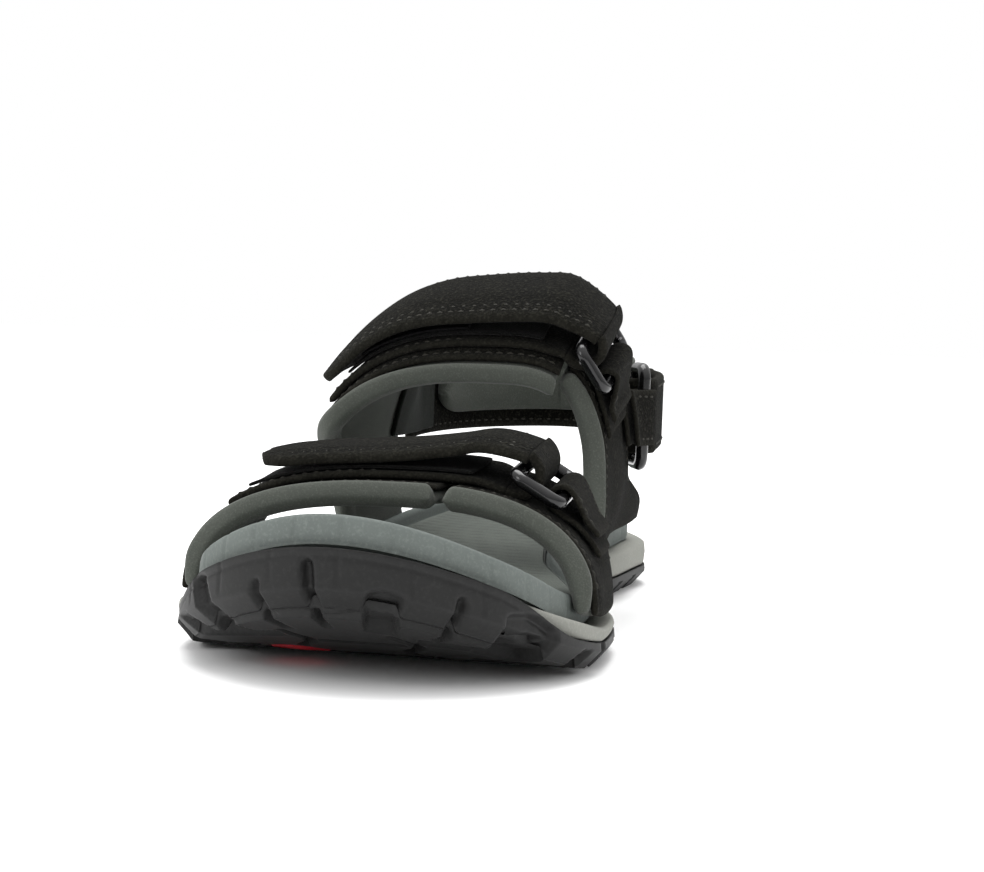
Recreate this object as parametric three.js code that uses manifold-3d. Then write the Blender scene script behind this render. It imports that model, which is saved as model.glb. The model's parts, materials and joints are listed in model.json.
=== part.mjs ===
// A right-foot strappy sport sandal: a lugged rubber outsole, a foam midsole and a lipped footbed
// carry a nubuck upper whose forefoot, instep and heel straps each pass through a swivelling ring
// and fold back on themselves, where hook tape holds them to loop tape.
//
// Frame: +Z up, the toe points along -Y, +X is the inner (medial) side of the foot. Millimetres.
// Places are worked out with Y = 0 near the ball of the foot; the last line centres the sandal.

import * as THREE from 'three';
import { mergeVertices } from 'three/addons/utils/BufferGeometryUtils.js';
import Module from 'manifold-3d';

const wasm = await Module();
wasm.setup();

// ---------------------------------------------------------------- driving dimensions

const soleLength = 288;
const toeTipY = -104;
const ballMedialReach = 52.3; // from the sole's middle line to its edge
const ballLateralReach = 58;
const waistMedialReach = 28; // the narrow part under the arch
const heelReach = 34.8;
const toeSwing = 4; // how far the toe lies to the inner side of the heel's middle

const toeSpring = 18.9; // how far the toe tip curls up
const toeSpringLength = 78; // the stretch of sole that curls
const heelBevel = 3;
const heelBevelLength = 26;

const ballEdge = 9.4; // ground to the top of the midsole's edge
const toeEdge = 14;
const heelEdge = 14;

const treadDepth = 3.5;
const outsoleBase = 2; // rubber above the tread
const bumperWall = 4.5; // the rubber that wraps up round the toe
const lugPitch = 21;
const lugGap = 4.4;
const lugCutLength = 36;
const lugCutTurn = 0.3; // how far the side grooves rake, in radians
const toePockets = 9;
const insertRadius = 7.5;
const insertThickness = 1.6;

const gap = 0.35; // clearance between glued, sewn or stacked pieces
const boardThickness = 1.2;
const boardInset = 11;
const shankLength = 92;
const shankWidth = 18;
const shankThickness = 1.4;

const toeLipInset = 3;
const footbedInset = 6.2; // leaves room for the upper between footbed and sole edge
const toeLipHeight = 6.7;
const heelLipHeight = 12;
const footbedBase = 4.3; // foam under the cover
const lipWidth = 3.4;
const coverThickness = 1.1;

const upperInset = 2.4; // sole edge to the inside of the leather
const toeRise = 30; // crest of the upper above the sole edge, at the front of the forefoot
const ballRise = 33;
const instepRise = 64;
const ankleRise = 79;
const archOverhang = 12; // how far the upper stands out past the narrow waist

const leather = 1.6;
const lining = 2.8;
const rollWidth = 4.2; // how far the padded lining shows past the leather at a front edge
const strap = 2; // thickness of the lower run of a strap
const flap = 2.6; // thickness of the run that folds back over it
const tape = 0.9;
const forefootStrapWidth = 26;
const instepStrapWidth = 31;
const heelStrapWidth = 22;

const rod = 1.8; // radius of the rod that a ring is bent from
const ringReach = 12.5; // free bar to hinged bar, centre to centre
const ringSideClearance = 1;
const foldRadius = 4.2; // inside of the strap where it turns round the free bar
const tab = 1.4; // thickness of the leather tab that holds a ring
const goreThickness = 1.4;
const tabSideClearance = 3;

// Along the form, in its cross measure u, which runs from 0 to 1 over the foot.
const endLiftStretch = 0.13; // the last part of a folded flap, which lifts a little
const bendStretch = 0.17; // the part that comes down from the bend
const goreSewnY = 80; // where the elastic gore is sewn in behind the outer quarter
const goreLeavesY = 93; // where it leaves the quarter for the heel strap

// ---------------------------------------------------------------- small tools

const { PI, cos, sin, abs, sqrt, min, max } = Math;
const V = (x, y, z) => new THREE.Vector3(x, y, z);
const clamp = (x, lo, hi) => min(hi, max(lo, x));
const mix = (a, b, s) => a + (b - a) * s;
const smooth = (s) => clamp(s, 0, 1) ** 2 * (3 - 2 * clamp(s, 0, 1));
const steps = (a, b, n) => Array.from({ length: n + 1 }, (_, i) => mix(a, b, i / n));

// A smooth function through [x, value] knots that never overshoots them.
function through(knots) {
  const n = knots.length;
  const slope = (i) => (knots[i + 1][1] - knots[i][1]) / (knots[i + 1][0] - knots[i][0]);
  const tangent = knots.map((_, i) => {
    if (i === 0) return slope(0);
    if (i === n - 1) return slope(n - 2);
    const [a, b] = [slope(i - 1), slope(i)];
    return a * b <= 0 ? 0 : (2 * a * b) / (a + b);
  });
  return (x) => {
    if (x <= knots[0][0]) return knots[0][1];
    if (x >= knots[n - 1][0]) return knots[n - 1][1];
    const i = knots.findIndex((k) => k[0] > x) - 1;
    const h = knots[i + 1][0] - knots[i][0];
    const s = (x - knots[i][0]) / h;
    return (
      knots[i][1] * (1 + 2 * s) * (1 - s) ** 2 +
      tangent[i] * h * s * (1 - s) ** 2 +
      knots[i + 1][1] * s * s * (3 - 2 * s) +
      tangent[i + 1] * h * s * s * (s - 1)
    );
  };
}

function geometryOf(points, faces) {
  const flat = new Float32Array(points.flatMap((p) => [p.x, p.y, p.z]));
  let volume = 0;
  for (const [a, b, c] of faces) volume += points[a].dot(V(0, 0, 0).crossVectors(points[b], points[c]));
  const outward = volume > 0 ? faces : faces.map(([a, b, c]) => [a, c, b]);
  return new THREE.BufferGeometry()
    .setAttribute('position', new THREE.BufferAttribute(flat, 3))
    .setIndex(outward.flat());
}

// A closed solid between two surfaces that share one grid: outer(s, t) and inner(s, t), s and t from 0 to 1.
function thickSheet(outer, inner, rows, columns) {
  const points = [];
  const faces = [];
  const layer = (surface) => steps(0, 1, rows).forEach((s) => {
    steps(0, 1, columns).forEach((t) => points.push(surface(s, t)));
  });
  layer(outer);
  layer(inner);
  const half = (rows + 1) * (columns + 1);
  const at = (i, j) => i * (columns + 1) + j;
  const quad = (a, b, c, d) => faces.push([a, b, c], [a, c, d]);
  for (let i = 0; i < rows; i++) {
    for (let j = 0; j < columns; j++) {
      quad(at(i, j), at(i + 1, j), at(i + 1, j + 1), at(i, j + 1));
      quad(half + at(i, j), half + at(i, j + 1), half + at(i + 1, j + 1), half + at(i + 1, j));
    }
  }
  const wall = (a, b) => quad(a, b, half + b, half + a);
  for (let i = 0; i < rows; i++) {
    wall(at(i + 1, 0), at(i, 0));
    wall(at(i, columns), at(i + 1, columns));
  }
  for (let j = 0; j < columns; j++) {
    wall(at(0, j), at(0, j + 1));
    wall(at(rows, j + 1), at(rows, j));
  }
  return geometryOf(points, faces);
}

// A rod of round section bent into a closed flat loop; path holds points, normal is the loop's plane.
function closedRod(path, normal, radius, sides = 8) {
  const n = path.length;
  const points = path.flatMap((p, i) => {
    const tangent = path[(i + 1) % n].clone().sub(path[(i + n - 1) % n]).normalize();
    const across = tangent.clone().cross(normal).normalize();
    return steps(0, 2 * PI, sides).slice(0, sides).map((angle) =>
      p.clone().addScaledVector(across, radius * cos(angle)).addScaledVector(normal, radius * sin(angle)));
  });
  const faces = [];
  for (let i = 0; i < n; i++) {
    for (let k = 0; k < sides; k++) {
      const [a, b] = [i * sides + k, i * sides + (k + 1) % sides];
      const [c, d] = [((i + 1) % n) * sides + (k + 1) % sides, ((i + 1) % n) * sides + k];
      faces.push([a, b, c], [a, c, d]);
    }
  }
  return geometryOf(points, faces);
}

function solid(geometry) {
  const bare = geometry.clone();
  ['normal', 'uv'].forEach((name) => bare.deleteAttribute(name));
  const merged = mergeVertices(bare, 1e-4);
  return new wasm.Manifold(new wasm.Mesh({
    numProp: 3,
    vertProperties: new Float32Array(merged.attributes.position.array),
    triVerts: new Uint32Array(merged.index.array),
  }));
}

function geometryFrom(manifold) {
  const mesh = manifold.getMesh();
  return new THREE.BufferGeometry()
    .setAttribute('position', new THREE.BufferAttribute(mesh.vertProperties, 3))
    .setIndex(new THREE.BufferAttribute(mesh.triVerts, 1));
}

const without = (body, cutters) => geometryFrom(cutters.reduce((left, c) => left.subtract(solid(c)), solid(body)));

// ---------------------------------------------------------------- materials

const material = (color, roughness, metalness = 0) => new THREE.MeshStandardMaterial({ color, roughness, metalness });
const rubber = material(0x2b2b2a, 0.75);
const paleFoam = material(0x9b9a92, 0.7);
const footbedFoam = material(0x6f7672, 0.75);
const coverCloth = material(0x5d6460, 0.85);
const board = material(0x8a7a63, 0.9);
const nylon = material(0x1d1d1f, 0.4);
const redRubber = material(0xb5182a, 0.5);
const nubuck = material(0x141412, 0.95);
const neoprene = material(0x4a4f4b, 0.9);
const elastic = material(0x20211f, 0.85);
const hookTape = material(0x0c0c0c, 0.9);
const loopTape = material(0x111111, 1);
const glossPlastic = material(0x18181a, 0.25);

const sandal = new THREE.Group();
function add(name, geometry, finish) {
  const mesh = new THREE.Mesh(geometry, finish);
  mesh.name = name;
  sandal.add(mesh);
}

// ---------------------------------------------------------------- the sole's outline and levels

// Round the sole, a runs from 0 at the heel, along the outer side to 0.5 at the toe tip, and back
// along the inner side to 1. Along it, t is 0 at the heel and 1 at the toe.
const MEDIAL = 1;
const LATERAL = -1;
const heelY = toeTipY + soleLength;
const tAt = (y) => (heelY - y) / soleLength;
const middleAt = (t) => toeSwing * smooth((t - 0.15) / 0.5);
const heelRound = heelReach / soleLength;
const medialToeRound = 0.22;
const lateralToeRound = 0.3;
const medialReach = through([
  [heelRound, heelReach], [0.25, 0.95 * heelReach], [0.38, waistMedialReach], [0.48, 1.12 * waistMedialReach],
  [0.58, 0.78 * ballMedialReach], [0.68, 0.95 * ballMedialReach], [1 - medialToeRound, ballMedialReach],
]);
const lateralReach = through([
  [heelRound, heelReach], [0.25, 0.64 * ballLateralReach], [0.35, 0.695 * ballLateralReach],
  [0.45, 0.775 * ballLateralReach], [0.55, 0.89 * ballLateralReach], [0.62, 0.96 * ballLateralReach],
  [1 - lateralToeRound, ballLateralReach],
]);
const quarterRound = (u) => sqrt(max(0, 1 - clamp(u, 0, 1) ** 2));
function edgeX(side, t) {
  const toeRound = side === MEDIAL ? medialToeRound : lateralToeRound;
  const reach = (side === MEDIAL ? medialReach : lateralReach)(t);
  const ends = quarterRound(1 - t / heelRound) * quarterRound((t - 1 + toeRound) / toeRound);
  return middleAt(t) + side * reach * (t < heelRound || t > 1 - toeRound ? ends : 1);
}
function edgePoint(a) {
  const turn = ((a % 1) + 1) % 1;
  const t = (1 - cos(2 * PI * turn)) / 2;
  return V(edgeX(turn < 0.5 ? LATERAL : MEDIAL, t), heelY - soleLength * t, 0);
}
// A point of the outline pulled in by inset.
function insetPoint(a, inset, z) {
  const along = edgePoint(a + 0.004).sub(edgePoint(a - 0.004)).normalize();
  return edgePoint(a).addScaledVector(V(-along.y, along.x, 0), inset).setZ(z);
}

const groundZ = (y) =>
  toeSpring * clamp((toeTipY + toeSpringLength - y) / toeSpringLength, 0, 1) ** 2 +
  heelBevel * clamp((y - heelY + heelBevelLength) / heelBevelLength, 0, 1) ** 2;
const edgeHeight = (y) => (y < 0
  ? mix(ballEdge, toeEdge, clamp(y / toeTipY, 0, 1) ** 2)
  : mix(ballEdge, heelEdge, clamp(y / (soleLength / 2), 0, 1)));
const rimZ = (y) => groundZ(y) + edgeHeight(y);
const toeness = (y) => smooth((-60 - y) / 28); // 0 behind the toes, 1 at the toe
const floorZ = (y) => groundZ(y) + treadDepth + outsoleBase;
const wallZ = (y) => mix(floorZ(y) + 0.9, rimZ(y), toeness(y));

// A solid stacked from rings of the outline, bottom ring first: each ring is [inset(y), z(y)].
function ringStack(rings, around = 60) {
  const half = around / 2;
  const points = rings.flatMap(([inset, level]) =>
    Array.from({ length: around }, (_, k) => {
      const at = edgePoint(k / around);
      const p = insetPoint(k / around, inset(at.y), 0);
      return p.setZ(level(p.y));
    }));
  const faces = [];
  const quad = (a, b, c, d) => faces.push([a, b, c], [a, c, d]);
  for (let r = 0; r + 1 < rings.length; r++) {
    for (let k = 0; k < around; k++) {
      const [a, b] = [r * around + k, r * around + (k + 1) % around];
      quad(a, a + around, b + around, b);
    }
  }
  const cap = (start, flip) => {
    const strip = (...corner) => (flip ? corner.reverse() : corner).map((k) => start + k);
    faces.push(strip(0, 1, around - 1), strip(half - 1, half, half + 1));
    for (let k = 1; k < half - 1; k++) quad(...strip(k, k + 1, around - k - 1, around - k));
  };
  cap(0, false);
  cap((rings.length - 1) * around, true);
  return geometryOf(points, faces);
}
const even = (d) => () => d;

function box(w, l, h, x, y, z, pitch = 0, yaw = 0) {
  return new THREE.BoxGeometry(w, l, h).rotateX(pitch).rotateZ(yaw).translate(x, y, z);
}
const slopeAt = (y) => Math.atan((groundZ(y + 1) - groundZ(y - 1)) / 2);

// ---------------------------------------------------------------- sole

const insertPlace = V(toeSwing - 19, -58, 0);
const shankY = 62;
const shankZ = (y) => rimZ(y) - boardThickness - 2 * gap - shankThickness / 2 - gap;

function disc(radius, thickness, x, y, z, pitch) {
  return new THREE.CylinderGeometry(radius, radius, thickness, 20).rotateX(PI / 2).rotateX(pitch).translate(x, y, z);
}

function outsole() {
  const body = ringStack([
    [even(4), (y) => groundZ(y)],
    [even(1.2), (y) => groundZ(y) + 2.2],
    [even(0), (y) => groundZ(y) + 4.4],
    [even(0.2), wallZ],
    [even(bumperWall), wallZ],
    [even(bumperWall + 0.5), floorZ],
  ]);
  const cutters = [];
  for (let y = toeTipY + 26; y < heelY - 16; y += lugPitch) {
    const z = groundZ(y) - 3 + treadDepth;
    const pitch = slopeAt(y);
    [LATERAL, MEDIAL].forEach((side) => {
      const edge = edgeX(side, tAt(y));
      cutters.push(box(lugCutLength, lugGap, 6, edge - side * 8, y, z, pitch, side * lugCutTurn));
    });
  }
  // Pockets between the blocks that wrap up round the toe.
  for (let k = 0; k < toePockets; k++) {
    const a = mix(0.325, 0.66, k / (toePockets - 1));
    const p = insetPoint(a, 0.2, 0);
    const out = p.clone().sub(insetPoint(a, 6, 0));
    const yaw = Math.atan2(out.y, out.x);
    cutters.push(box(5, k % 2 ? 3.4 : 7.5, 8.5, p.x, p.y, groundZ(p.y) + 1.6, 0, yaw));
  }
  const { x, y } = insertPlace;
  cutters.push(disc(insertRadius + gap, 2 * (insertThickness + gap), x, y, groundZ(y), slopeAt(y)));
  return without(body, cutters);
}

function redInsert() {
  const { x, y } = insertPlace;
  return disc(insertRadius, insertThickness, x, y, groundZ(y) + insertThickness / 2, slopeAt(y));
}

function midsole() {
  const inner = () => bumperWall + 2 * gap;
  const outer = (y) => mix(0.4, inner() + 0.1, toeness(y - 8));
  const top = (y) => rimZ(y);
  const recess = (y) => rimZ(y) - boardThickness - 2 * gap;
  const shelf = (y) => min(wallZ(y) + gap, rimZ(y) - 0.6);
  const body = ringStack([
    [() => inner() + 0.6, (y) => floorZ(y) + gap],
    [inner, shelf],
    [outer, (y) => shelf(y) + 0.05],
    [outer, top],
    [even(boardInset - 0.6), top],
    [even(boardInset - 0.6), recess],
  ]);
  return without(body, [shankBox(gap)]);
}

function shankBox(clearance) {
  const parts = 2 * clearance;
  const pitch = Math.atan((shankZ(shankY + 40) - shankZ(shankY - 40)) / 80);
  const openTop = clearance ? 1.5 : 0; // the pocket runs out through the foam's upper face
  return box(shankWidth + parts, shankLength + parts, shankThickness + parts + 2 * openTop,
    middleAt(0.4), shankY, shankZ(shankY) + openTop, pitch);
}

const lipInset = (y) => mix(footbedInset, toeLipInset, toeness(y - 4));
const lipZ = (y) => rimZ(y) + gap + mix(toeLipHeight, heelLipHeight, smooth((y - 10) / 100));
const footbedFloorZ = (y) => rimZ(y) + gap + footbedBase + 3 * smooth((y - 20) / 90);
const coverInset = (y) => lipInset(y) + lipWidth + 1.2;

add('outsole', outsole(), rubber);
add('red_outsole_insert', redInsert(), redRubber);
add('midsole', midsole(), paleFoam);
add('arch_shank', shankBox(0), nylon);
add('insole_board', ringStack([
  [even(boardInset), (y) => rimZ(y) - gap - boardThickness],
  [even(boardInset), (y) => rimZ(y) - gap],
]), board);
add('footbed', ringStack([
  [lipInset, (y) => rimZ(y) + gap],
  [lipInset, (y) => lipZ(y) - 1],
  [(y) => lipInset(y) + 0.9, lipZ],
  [(y) => lipInset(y) + lipWidth - 0.7, lipZ],
  [(y) => lipInset(y) + lipWidth, footbedFloorZ],
]), footbedFoam);
add('footbed_cover', ringStack([
  [coverInset, (y) => footbedFloorZ(y) + gap],
  [coverInset, (y) => footbedFloorZ(y) + gap + coverThickness],
]), coverCloth);

// ---------------------------------------------------------------- the form that the upper is shaped on

// Across the foot, u runs from 0 at the outer sole edge, over the crest at 0.5, to 1 at the inner edge.
const riseAt = through([[-80, 0.75 * toeRise], [-45, toeRise], [-20, ballRise], [0, mix(ballRise, instepRise, 0.2)],
  [35, instepRise], [62, mix(instepRise, ankleRise, 0.6)], [85, ankleRise]]);
const crestX = through([[-60, toeSwing + 1], [-20, toeSwing + 4], [40, toeSwing + 6], [120, toeSwing]]);
const roundness = (side, y) => (side === MEDIAL ? mix(2.5, 3.3, smooth((y + 20) / 60)) : 2.7);
const overhang = (side, y) => (side === MEDIAL
  ? archOverhang * smooth((y - 5) / 60) * (1 - 0.55 * smooth((y - 75) / 60))
  : 1.5 * smooth((y + 20) / 80));

function onForm(u, y) {
  const side = u < 0.5 ? LATERAL : MEDIAL;
  const power = 2 / roundness(side, y);
  const [flat, up] = [abs(cos(PI * u)) ** power, abs(sin(PI * u)) ** power];
  const foot = edgeX(side, tAt(y)) - side * upperInset;
  const bulge = foot + side * overhang(side, y);
  const tuck = (foot - bulge) * clamp(1 - up / 0.4, 0, 1) ** 2;
  return V(mix(crestX(y), bulge, flat) + tuck, y, rimZ(y) + gap + riseAt(y) * up);
}
function formNormal(u, y) {
  const [lo, hi] = [max(0.001, u - 0.01), min(0.999, u + 0.01)];
  const across = onForm(hi, y).sub(onForm(lo, y));
  const along = onForm(u, y + 1).sub(onForm(u, y - 1));
  return across.cross(along).normalize();
}
const offForm = (u, y, d) => onForm(u, y).addScaledVector(formNormal(u, y), d);

// Every piece on the form takes its cross lines from the same even steps, so that layers stay parallel.
const formSteps = 26;
function crossLines(from, to) {
  const inside = steps(0, 1, formSteps).filter((u) => u > from + 0.012 && u < to - 0.012);
  return [from, ...inside, to];
}
// A piece that lies on the form between two cross lines and two edges, front(u) and back(u), from low to high above it.
function formPiece({ from, to, front, back, low, high, columns = 5 }) {
  const lines = crossLines(from, to);
  const surface = (height) => (s, t) => {
    const u = lines[Math.round(s * (lines.length - 1))];
    const y = mix(front(u), back(u), t);
    return offForm(u, y, typeof height === 'function' ? height(u, t) : height);
  };
  return thickSheet(surface(high), surface(low), lines.length - 1, columns);
}

const skin = gap / 2 + leather; // top of the leather above the form

// The padded lining is drawn out past the leather at the front edge, where it forms a soft roll.
function quarterPair(name, { from, to, front, back }) {
  add(`${name}_quarter`, formPiece({ from, to, front, back, low: gap / 2, high: skin }), nubuck);
  add(`${name}_lining`, formPiece({
    from, to, front: (u) => front(u) - rollWidth, back, low: -gap / 2 - lining, high: -gap / 2,
  }), neoprene);
}

const lift = (u) => sin(PI * clamp(u, 0, 1)); // 0 at the sole edges, 1 over the crest
quarterPair('lateral_forefoot', {
  from: 0.012, to: 0.53, front: (u) => -48 + 5 * lift(u), back: (u) => mix(4, -8, lift(u)),
});
quarterPair('medial_forefoot', {
  from: 0.548, to: 0.988, front: (u) => -48 + 5 * lift(u), back: (u) => mix(2, -8, lift(u)),
});
quarterPair('lateral_instep', {
  from: 0.012, to: 0.635, front: (u) => mix(62, 30, smooth(lift(u) / 0.75)), back: (u) => mix(104, 68, lift(u)),
});
quarterPair('medial_instep', {
  from: 0.655, to: 0.988, front: (u) => mix(20, 36, smooth(lift(u) / 0.5)),
  back: (u) => mix(mix(118, 77, smooth((lift(u) - 0.04) / 0.16)), 70, smooth((lift(u) - 0.4) / 0.5)),
});

// ---------------------------------------------------------------- straps, rings and tabs

// A smooth path through points, as a function of s from 0 to 1.
function pathThrough(points) {
  const curve = new THREE.CatmullRomCurve3(points, false, 'centripetal');
  return (s) => curve.getPoint(s);
}
// A band of even thickness: route(w) gives the points that its middle follows, w from -0.5 to 0.5 across it.
function band(route, thickness, rows, columns = 4) {
  const lines = steps(-0.5, 0.5, 40).map((w) => pathThrough(route(w)));
  const middle = (s, t) => lines[Math.round(clamp(t, 0, 1) * 40)](clamp(s, 0, 1));
  const surface = (d) => (s, t) => {
    const along = middle(s + 0.01, t).sub(middle(s - 0.01, t));
    const across = middle(s, t + 0.05).sub(middle(s, t - 0.05));
    return middle(s, t).addScaledVector(across.cross(along).normalize(), d);
  };
  return thickSheet(surface(thickness / 2), surface(-thickness / 2), rows, columns);
}

// The hardware of one closure: the two bars of its ring and the three directions that go with them.
// along runs down the bars, reach from the hinged bar to the free bar, out away from the foot.
function hardware(hingeCentre, along, reach, width) {
  const out = along.clone().cross(reach).normalize();
  const free = hingeCentre.clone().addScaledVector(reach, ringReach);
  return { hinge: hingeCentre, free, along, reach, out, width };
}
function ringOf({ hinge, free, along, reach, out, width }) {
  const half = width / 2 + ringSideClearance + rod;
  const corner = 3;
  const path = [];
  const bend = (centre, start) => steps(start, start + PI / 2, 3).forEach((angle) => path.push(
    centre.clone().addScaledVector(along, corner * cos(angle)).addScaledVector(reach, corner * sin(angle))));
  const at = (base, side, inward) => base.clone().addScaledVector(along, side * (half - corner)).addScaledVector(reach, inward);
  bend(at(free, 1, -corner), 0);
  bend(at(free, -1, -corner), PI / 2);
  bend(at(hinge, -1, corner), PI);
  bend(at(hinge, 1, corner), 1.5 * PI);
  return closedRod(path, out, rod);
}
// Points round a bar, the angle being 0 towards reach and 90 degrees outwards.
const roundBar = (bar, { along, reach, out, width }, w, radius, degrees) => degrees.map((angle) =>
  bar.clone().addScaledVector(along, w * width)
    .addScaledVector(reach, radius * cos((angle * PI) / 180))
    .addScaledVector(out, radius * sin((angle * PI) / 180)));

const baseMiddle = skin + gap + strap / 2;
const loopLow = skin + gap + strap + gap;
const hookLow = loopLow + tape + gap;
const flapMiddle = hookLow + tape + gap + flap / 2;
const tabTurn = rod + 2 * gap + tab / 2;
const tabMiddle = skin + gap + tab / 2;

// A closure that crosses the foot from the outer side to a ring on the inner side.
function crossClosure(name, { y, width, hingeU, baseFrom, freeEnd, freeLift, tailTo }) {
  const yAt = (w) => y + w * width;
  const along = offForm(hingeU, yAt(0.5), 0).sub(offForm(hingeU, yAt(-0.5), 0)).normalize();
  const hinge = offForm(hingeU, y, tabMiddle + gap + tabTurn);
  const uphill = offForm(hingeU - 0.1, y, foldRadius + baseMiddle + strap / 2 + gap).sub(hinge);
  const reach = uphill.addScaledVector(along, -uphill.dot(along)).normalize();
  const parts = hardware(hinge, along, reach, width);
  if (parts.out.z < 0) parts.out.negate();
  const bendMiddle = foldRadius + flap / 2;
  // The cross line under the free bar.
  const freeU = steps(0.45, hingeU, 200).reduce((best, u) =>
    (abs(offForm(u, y, baseMiddle).sub(parts.free).dot(reach)) <
      abs(offForm(best, y, baseMiddle).sub(parts.free).dot(reach)) ? u : best), 0.5);
  const tabParts = { ...parts, width: width - 2 * tabSideClearance };

  add(`${name}_strap`, formPiece({
    from: baseFrom, to: freeU - 0.02, front: () => yAt(-0.5), back: () => yAt(0.5),
    low: skin + gap, high: skin + gap + strap,
  }), nubuck);
  add(`${name}_loop_patch`, formPiece({
    from: baseFrom + 0.05, to: freeU - 0.06, front: () => yAt(-0.42), back: () => yAt(0.42),
    low: loopLow, high: loopLow + tape, columns: 3,
  }), loopTape);
  const endLift = (u) => freeLift * clamp((freeEnd + endLiftStretch - u) / endLiftStretch, 0, 1) ** 2;
  const bendTop = baseMiddle + strap / 2 + 2 * foldRadius + flap / 2 + 1;
  add(`${name}_flap`, band((w) => {
    const lifted = (u) => flapMiddle + endLift(u) +
      (bendTop - flapMiddle) * smooth((u - freeU + bendStretch) / bendStretch);
    const lines = steps(freeU - 0.05, freeEnd, 7);
    return [
      ...roundBar(parts.free, parts, w, bendMiddle, [150, 130, 110, 92]),
      ...lines.map((u) => offForm(u, yAt(w), lifted(u))),
    ];
  }, flap, 26), nubuck);
  add(`${name}_hook_patch`, formPiece({
    from: freeEnd + 0.045, to: freeU - 0.15, front: () => yAt(-0.4), back: () => yAt(0.4),
    low: (u) => hookLow + endLift(u), high: (u) => hookLow + tape + endLift(u), columns: 3,
  }), hookTape);
  add(`${name}_ring`, ringOf(parts), glossPlastic);
  add(`${name}_ring_tab`, band((w) => {
    const onSkin = (share, d) => offForm(mix(tailTo, hingeU, share), y + w * tabParts.width, d);
    const folded = tabMiddle + tab + gap;
    return [
      ...[0, 0.2, 0.4, 0.6].map((share) => onSkin(share, tabMiddle + gap)),
      ...roundBar(parts.hinge, tabParts, w, tabTurn, [-90, -45, 0, 45, 90]),
      ...[0.5, 0.38, 0.26].map((share) => onSkin(share, folded + rod / 2)),
    ];
  }, tab, 32, 3), nubuck);
  return parts;
}

const forefoot = crossClosure('forefoot', {
  y: -24, width: forefootStrapWidth, hingeU: 0.725, baseFrom: 0.22, freeEnd: 0.31, freeLift: 1.5, tailTo: 0.87,
});
const instep = crossClosure('instep', {
  y: 49, width: instepStrapWidth, hingeU: 0.74, baseFrom: 0.23, freeEnd: 0.27, freeLift: 0.5, tailTo: 0.845,
});

// ---------------------------------------------------------------- heel

const slingZ = 57;
// The cross line where the wall on one side of the form reaches a height.
function wallU(side, y, z) {
  const lines = side === MEDIAL ? steps(0.6, 0.99, 160) : steps(0.02, 0.45, 160);
  return lines.reduce((best, u) => (abs(onForm(u, y).z - z) < abs(onForm(best, y).z - z) ? u : best), lines[80]);
}
const wallX = (side, y, z) => onForm(wallU(side, y, z), y).x;
const heelHingeY = 77;
const heelHinge = V(wallX(MEDIAL, heelHingeY, slingZ) + tabMiddle + 2 * gap + tabTurn, heelHingeY, slingZ);
const heelReachWay = V(-0.4, 1, 0).normalize();
const heelParts = hardware(heelHinge, V(0, 0, 1), heelReachWay, heelStrapWidth);
if (heelParts.out.x < 0) heelParts.out.negate();
const heelBend = foldRadius + flap / 2;
const slingInner = heelParts.free.x - (foldRadius + gap + strap / 2) * heelParts.out.x; // where the sling passes inside the free bar

// The sling's middle line in plan, from the gore on the outer side round the heel to the free bar.
const slingStartY = 104;
const slingBackY = heelY - 18;
const slingOuterX = wallX(LATERAL, goreLeavesY, slingZ) + 0.3;
const slingEndY = heelParts.free.y + 1;
const slingBend = (share, x) => V(x, mix(slingStartY, slingBackY, share), 0);
const slingPlan = pathThrough([
  slingBend(0, slingOuterX), slingBend(0.23, 0.94 * slingOuterX), slingBend(0.57, 0.75 * slingOuterX),
  slingBend(0.87, 0.35 * slingOuterX), slingBend(1, 3),
  slingBend(0.86, 0.56 * slingInner), slingBend(0.54, 0.86 * slingInner),
  slingBend(0.17, slingInner), V(slingInner, slingEndY, 0),
]);
// A point beside the sling: w runs from -0.5 at its lower edge to 0.5 at its upper edge, out away from the heel.
function slingPoint(at, w, out) {
  const along = slingPlan(min(1, at + 0.01)).sub(slingPlan(max(0, at - 0.01))).normalize();
  return slingPlan(at).addScaledVector(V(-along.y, along.x, 0), out).setZ(slingZ + w * heelStrapWidth + 3 * sin(PI * at));
}
function slingPiece({ from, to, low, high, inner, outer, rows }) {
  const surface = (d) => (s, t) => slingPoint(mix(from, to, s), mix(low, high, t), -d);
  return thickSheet(surface(inner), surface(outer), rows, 3);
}
add('heel_strap', slingPiece({ from: 0, to: 1, low: -0.5, high: 0.5, inner: -strap / 2, outer: strap / 2, rows: 34 }), nubuck);
add('heel_strap_lining', slingPiece({
  from: 0.15, to: 0.84, low: -0.42, high: 0.6, inner: strap / 2 + gap, outer: strap / 2 + gap + lining + 0.6, rows: 30,
}), neoprene);

// The elastic gore joins the outer quarter to the sling's outer end.
function gore() {
  const inside = (y, z) =>
    offForm(wallU(LATERAL, y, z), y, -lining - 4 * gap - goreThickness / 2).setZ(z);
  const beside = -strap / 2 - gap - goreThickness / 2;
  return band((w) => {
    const z = slingZ + w * (heelStrapWidth - 4);
    return [inside(goreSewnY, z), inside((goreSewnY + 2 * goreLeavesY) / 3, z), inside(goreLeavesY, z).add(V(-0.5, 0, 0)),
      ...[0.03, 0.08, 0.13].map((at) => slingPoint(at, w * (1 - 4 / heelStrapWidth), beside))];
  }, goreThickness, 10, 3);
}
add('elastic_gore', gore(), elastic);

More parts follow.
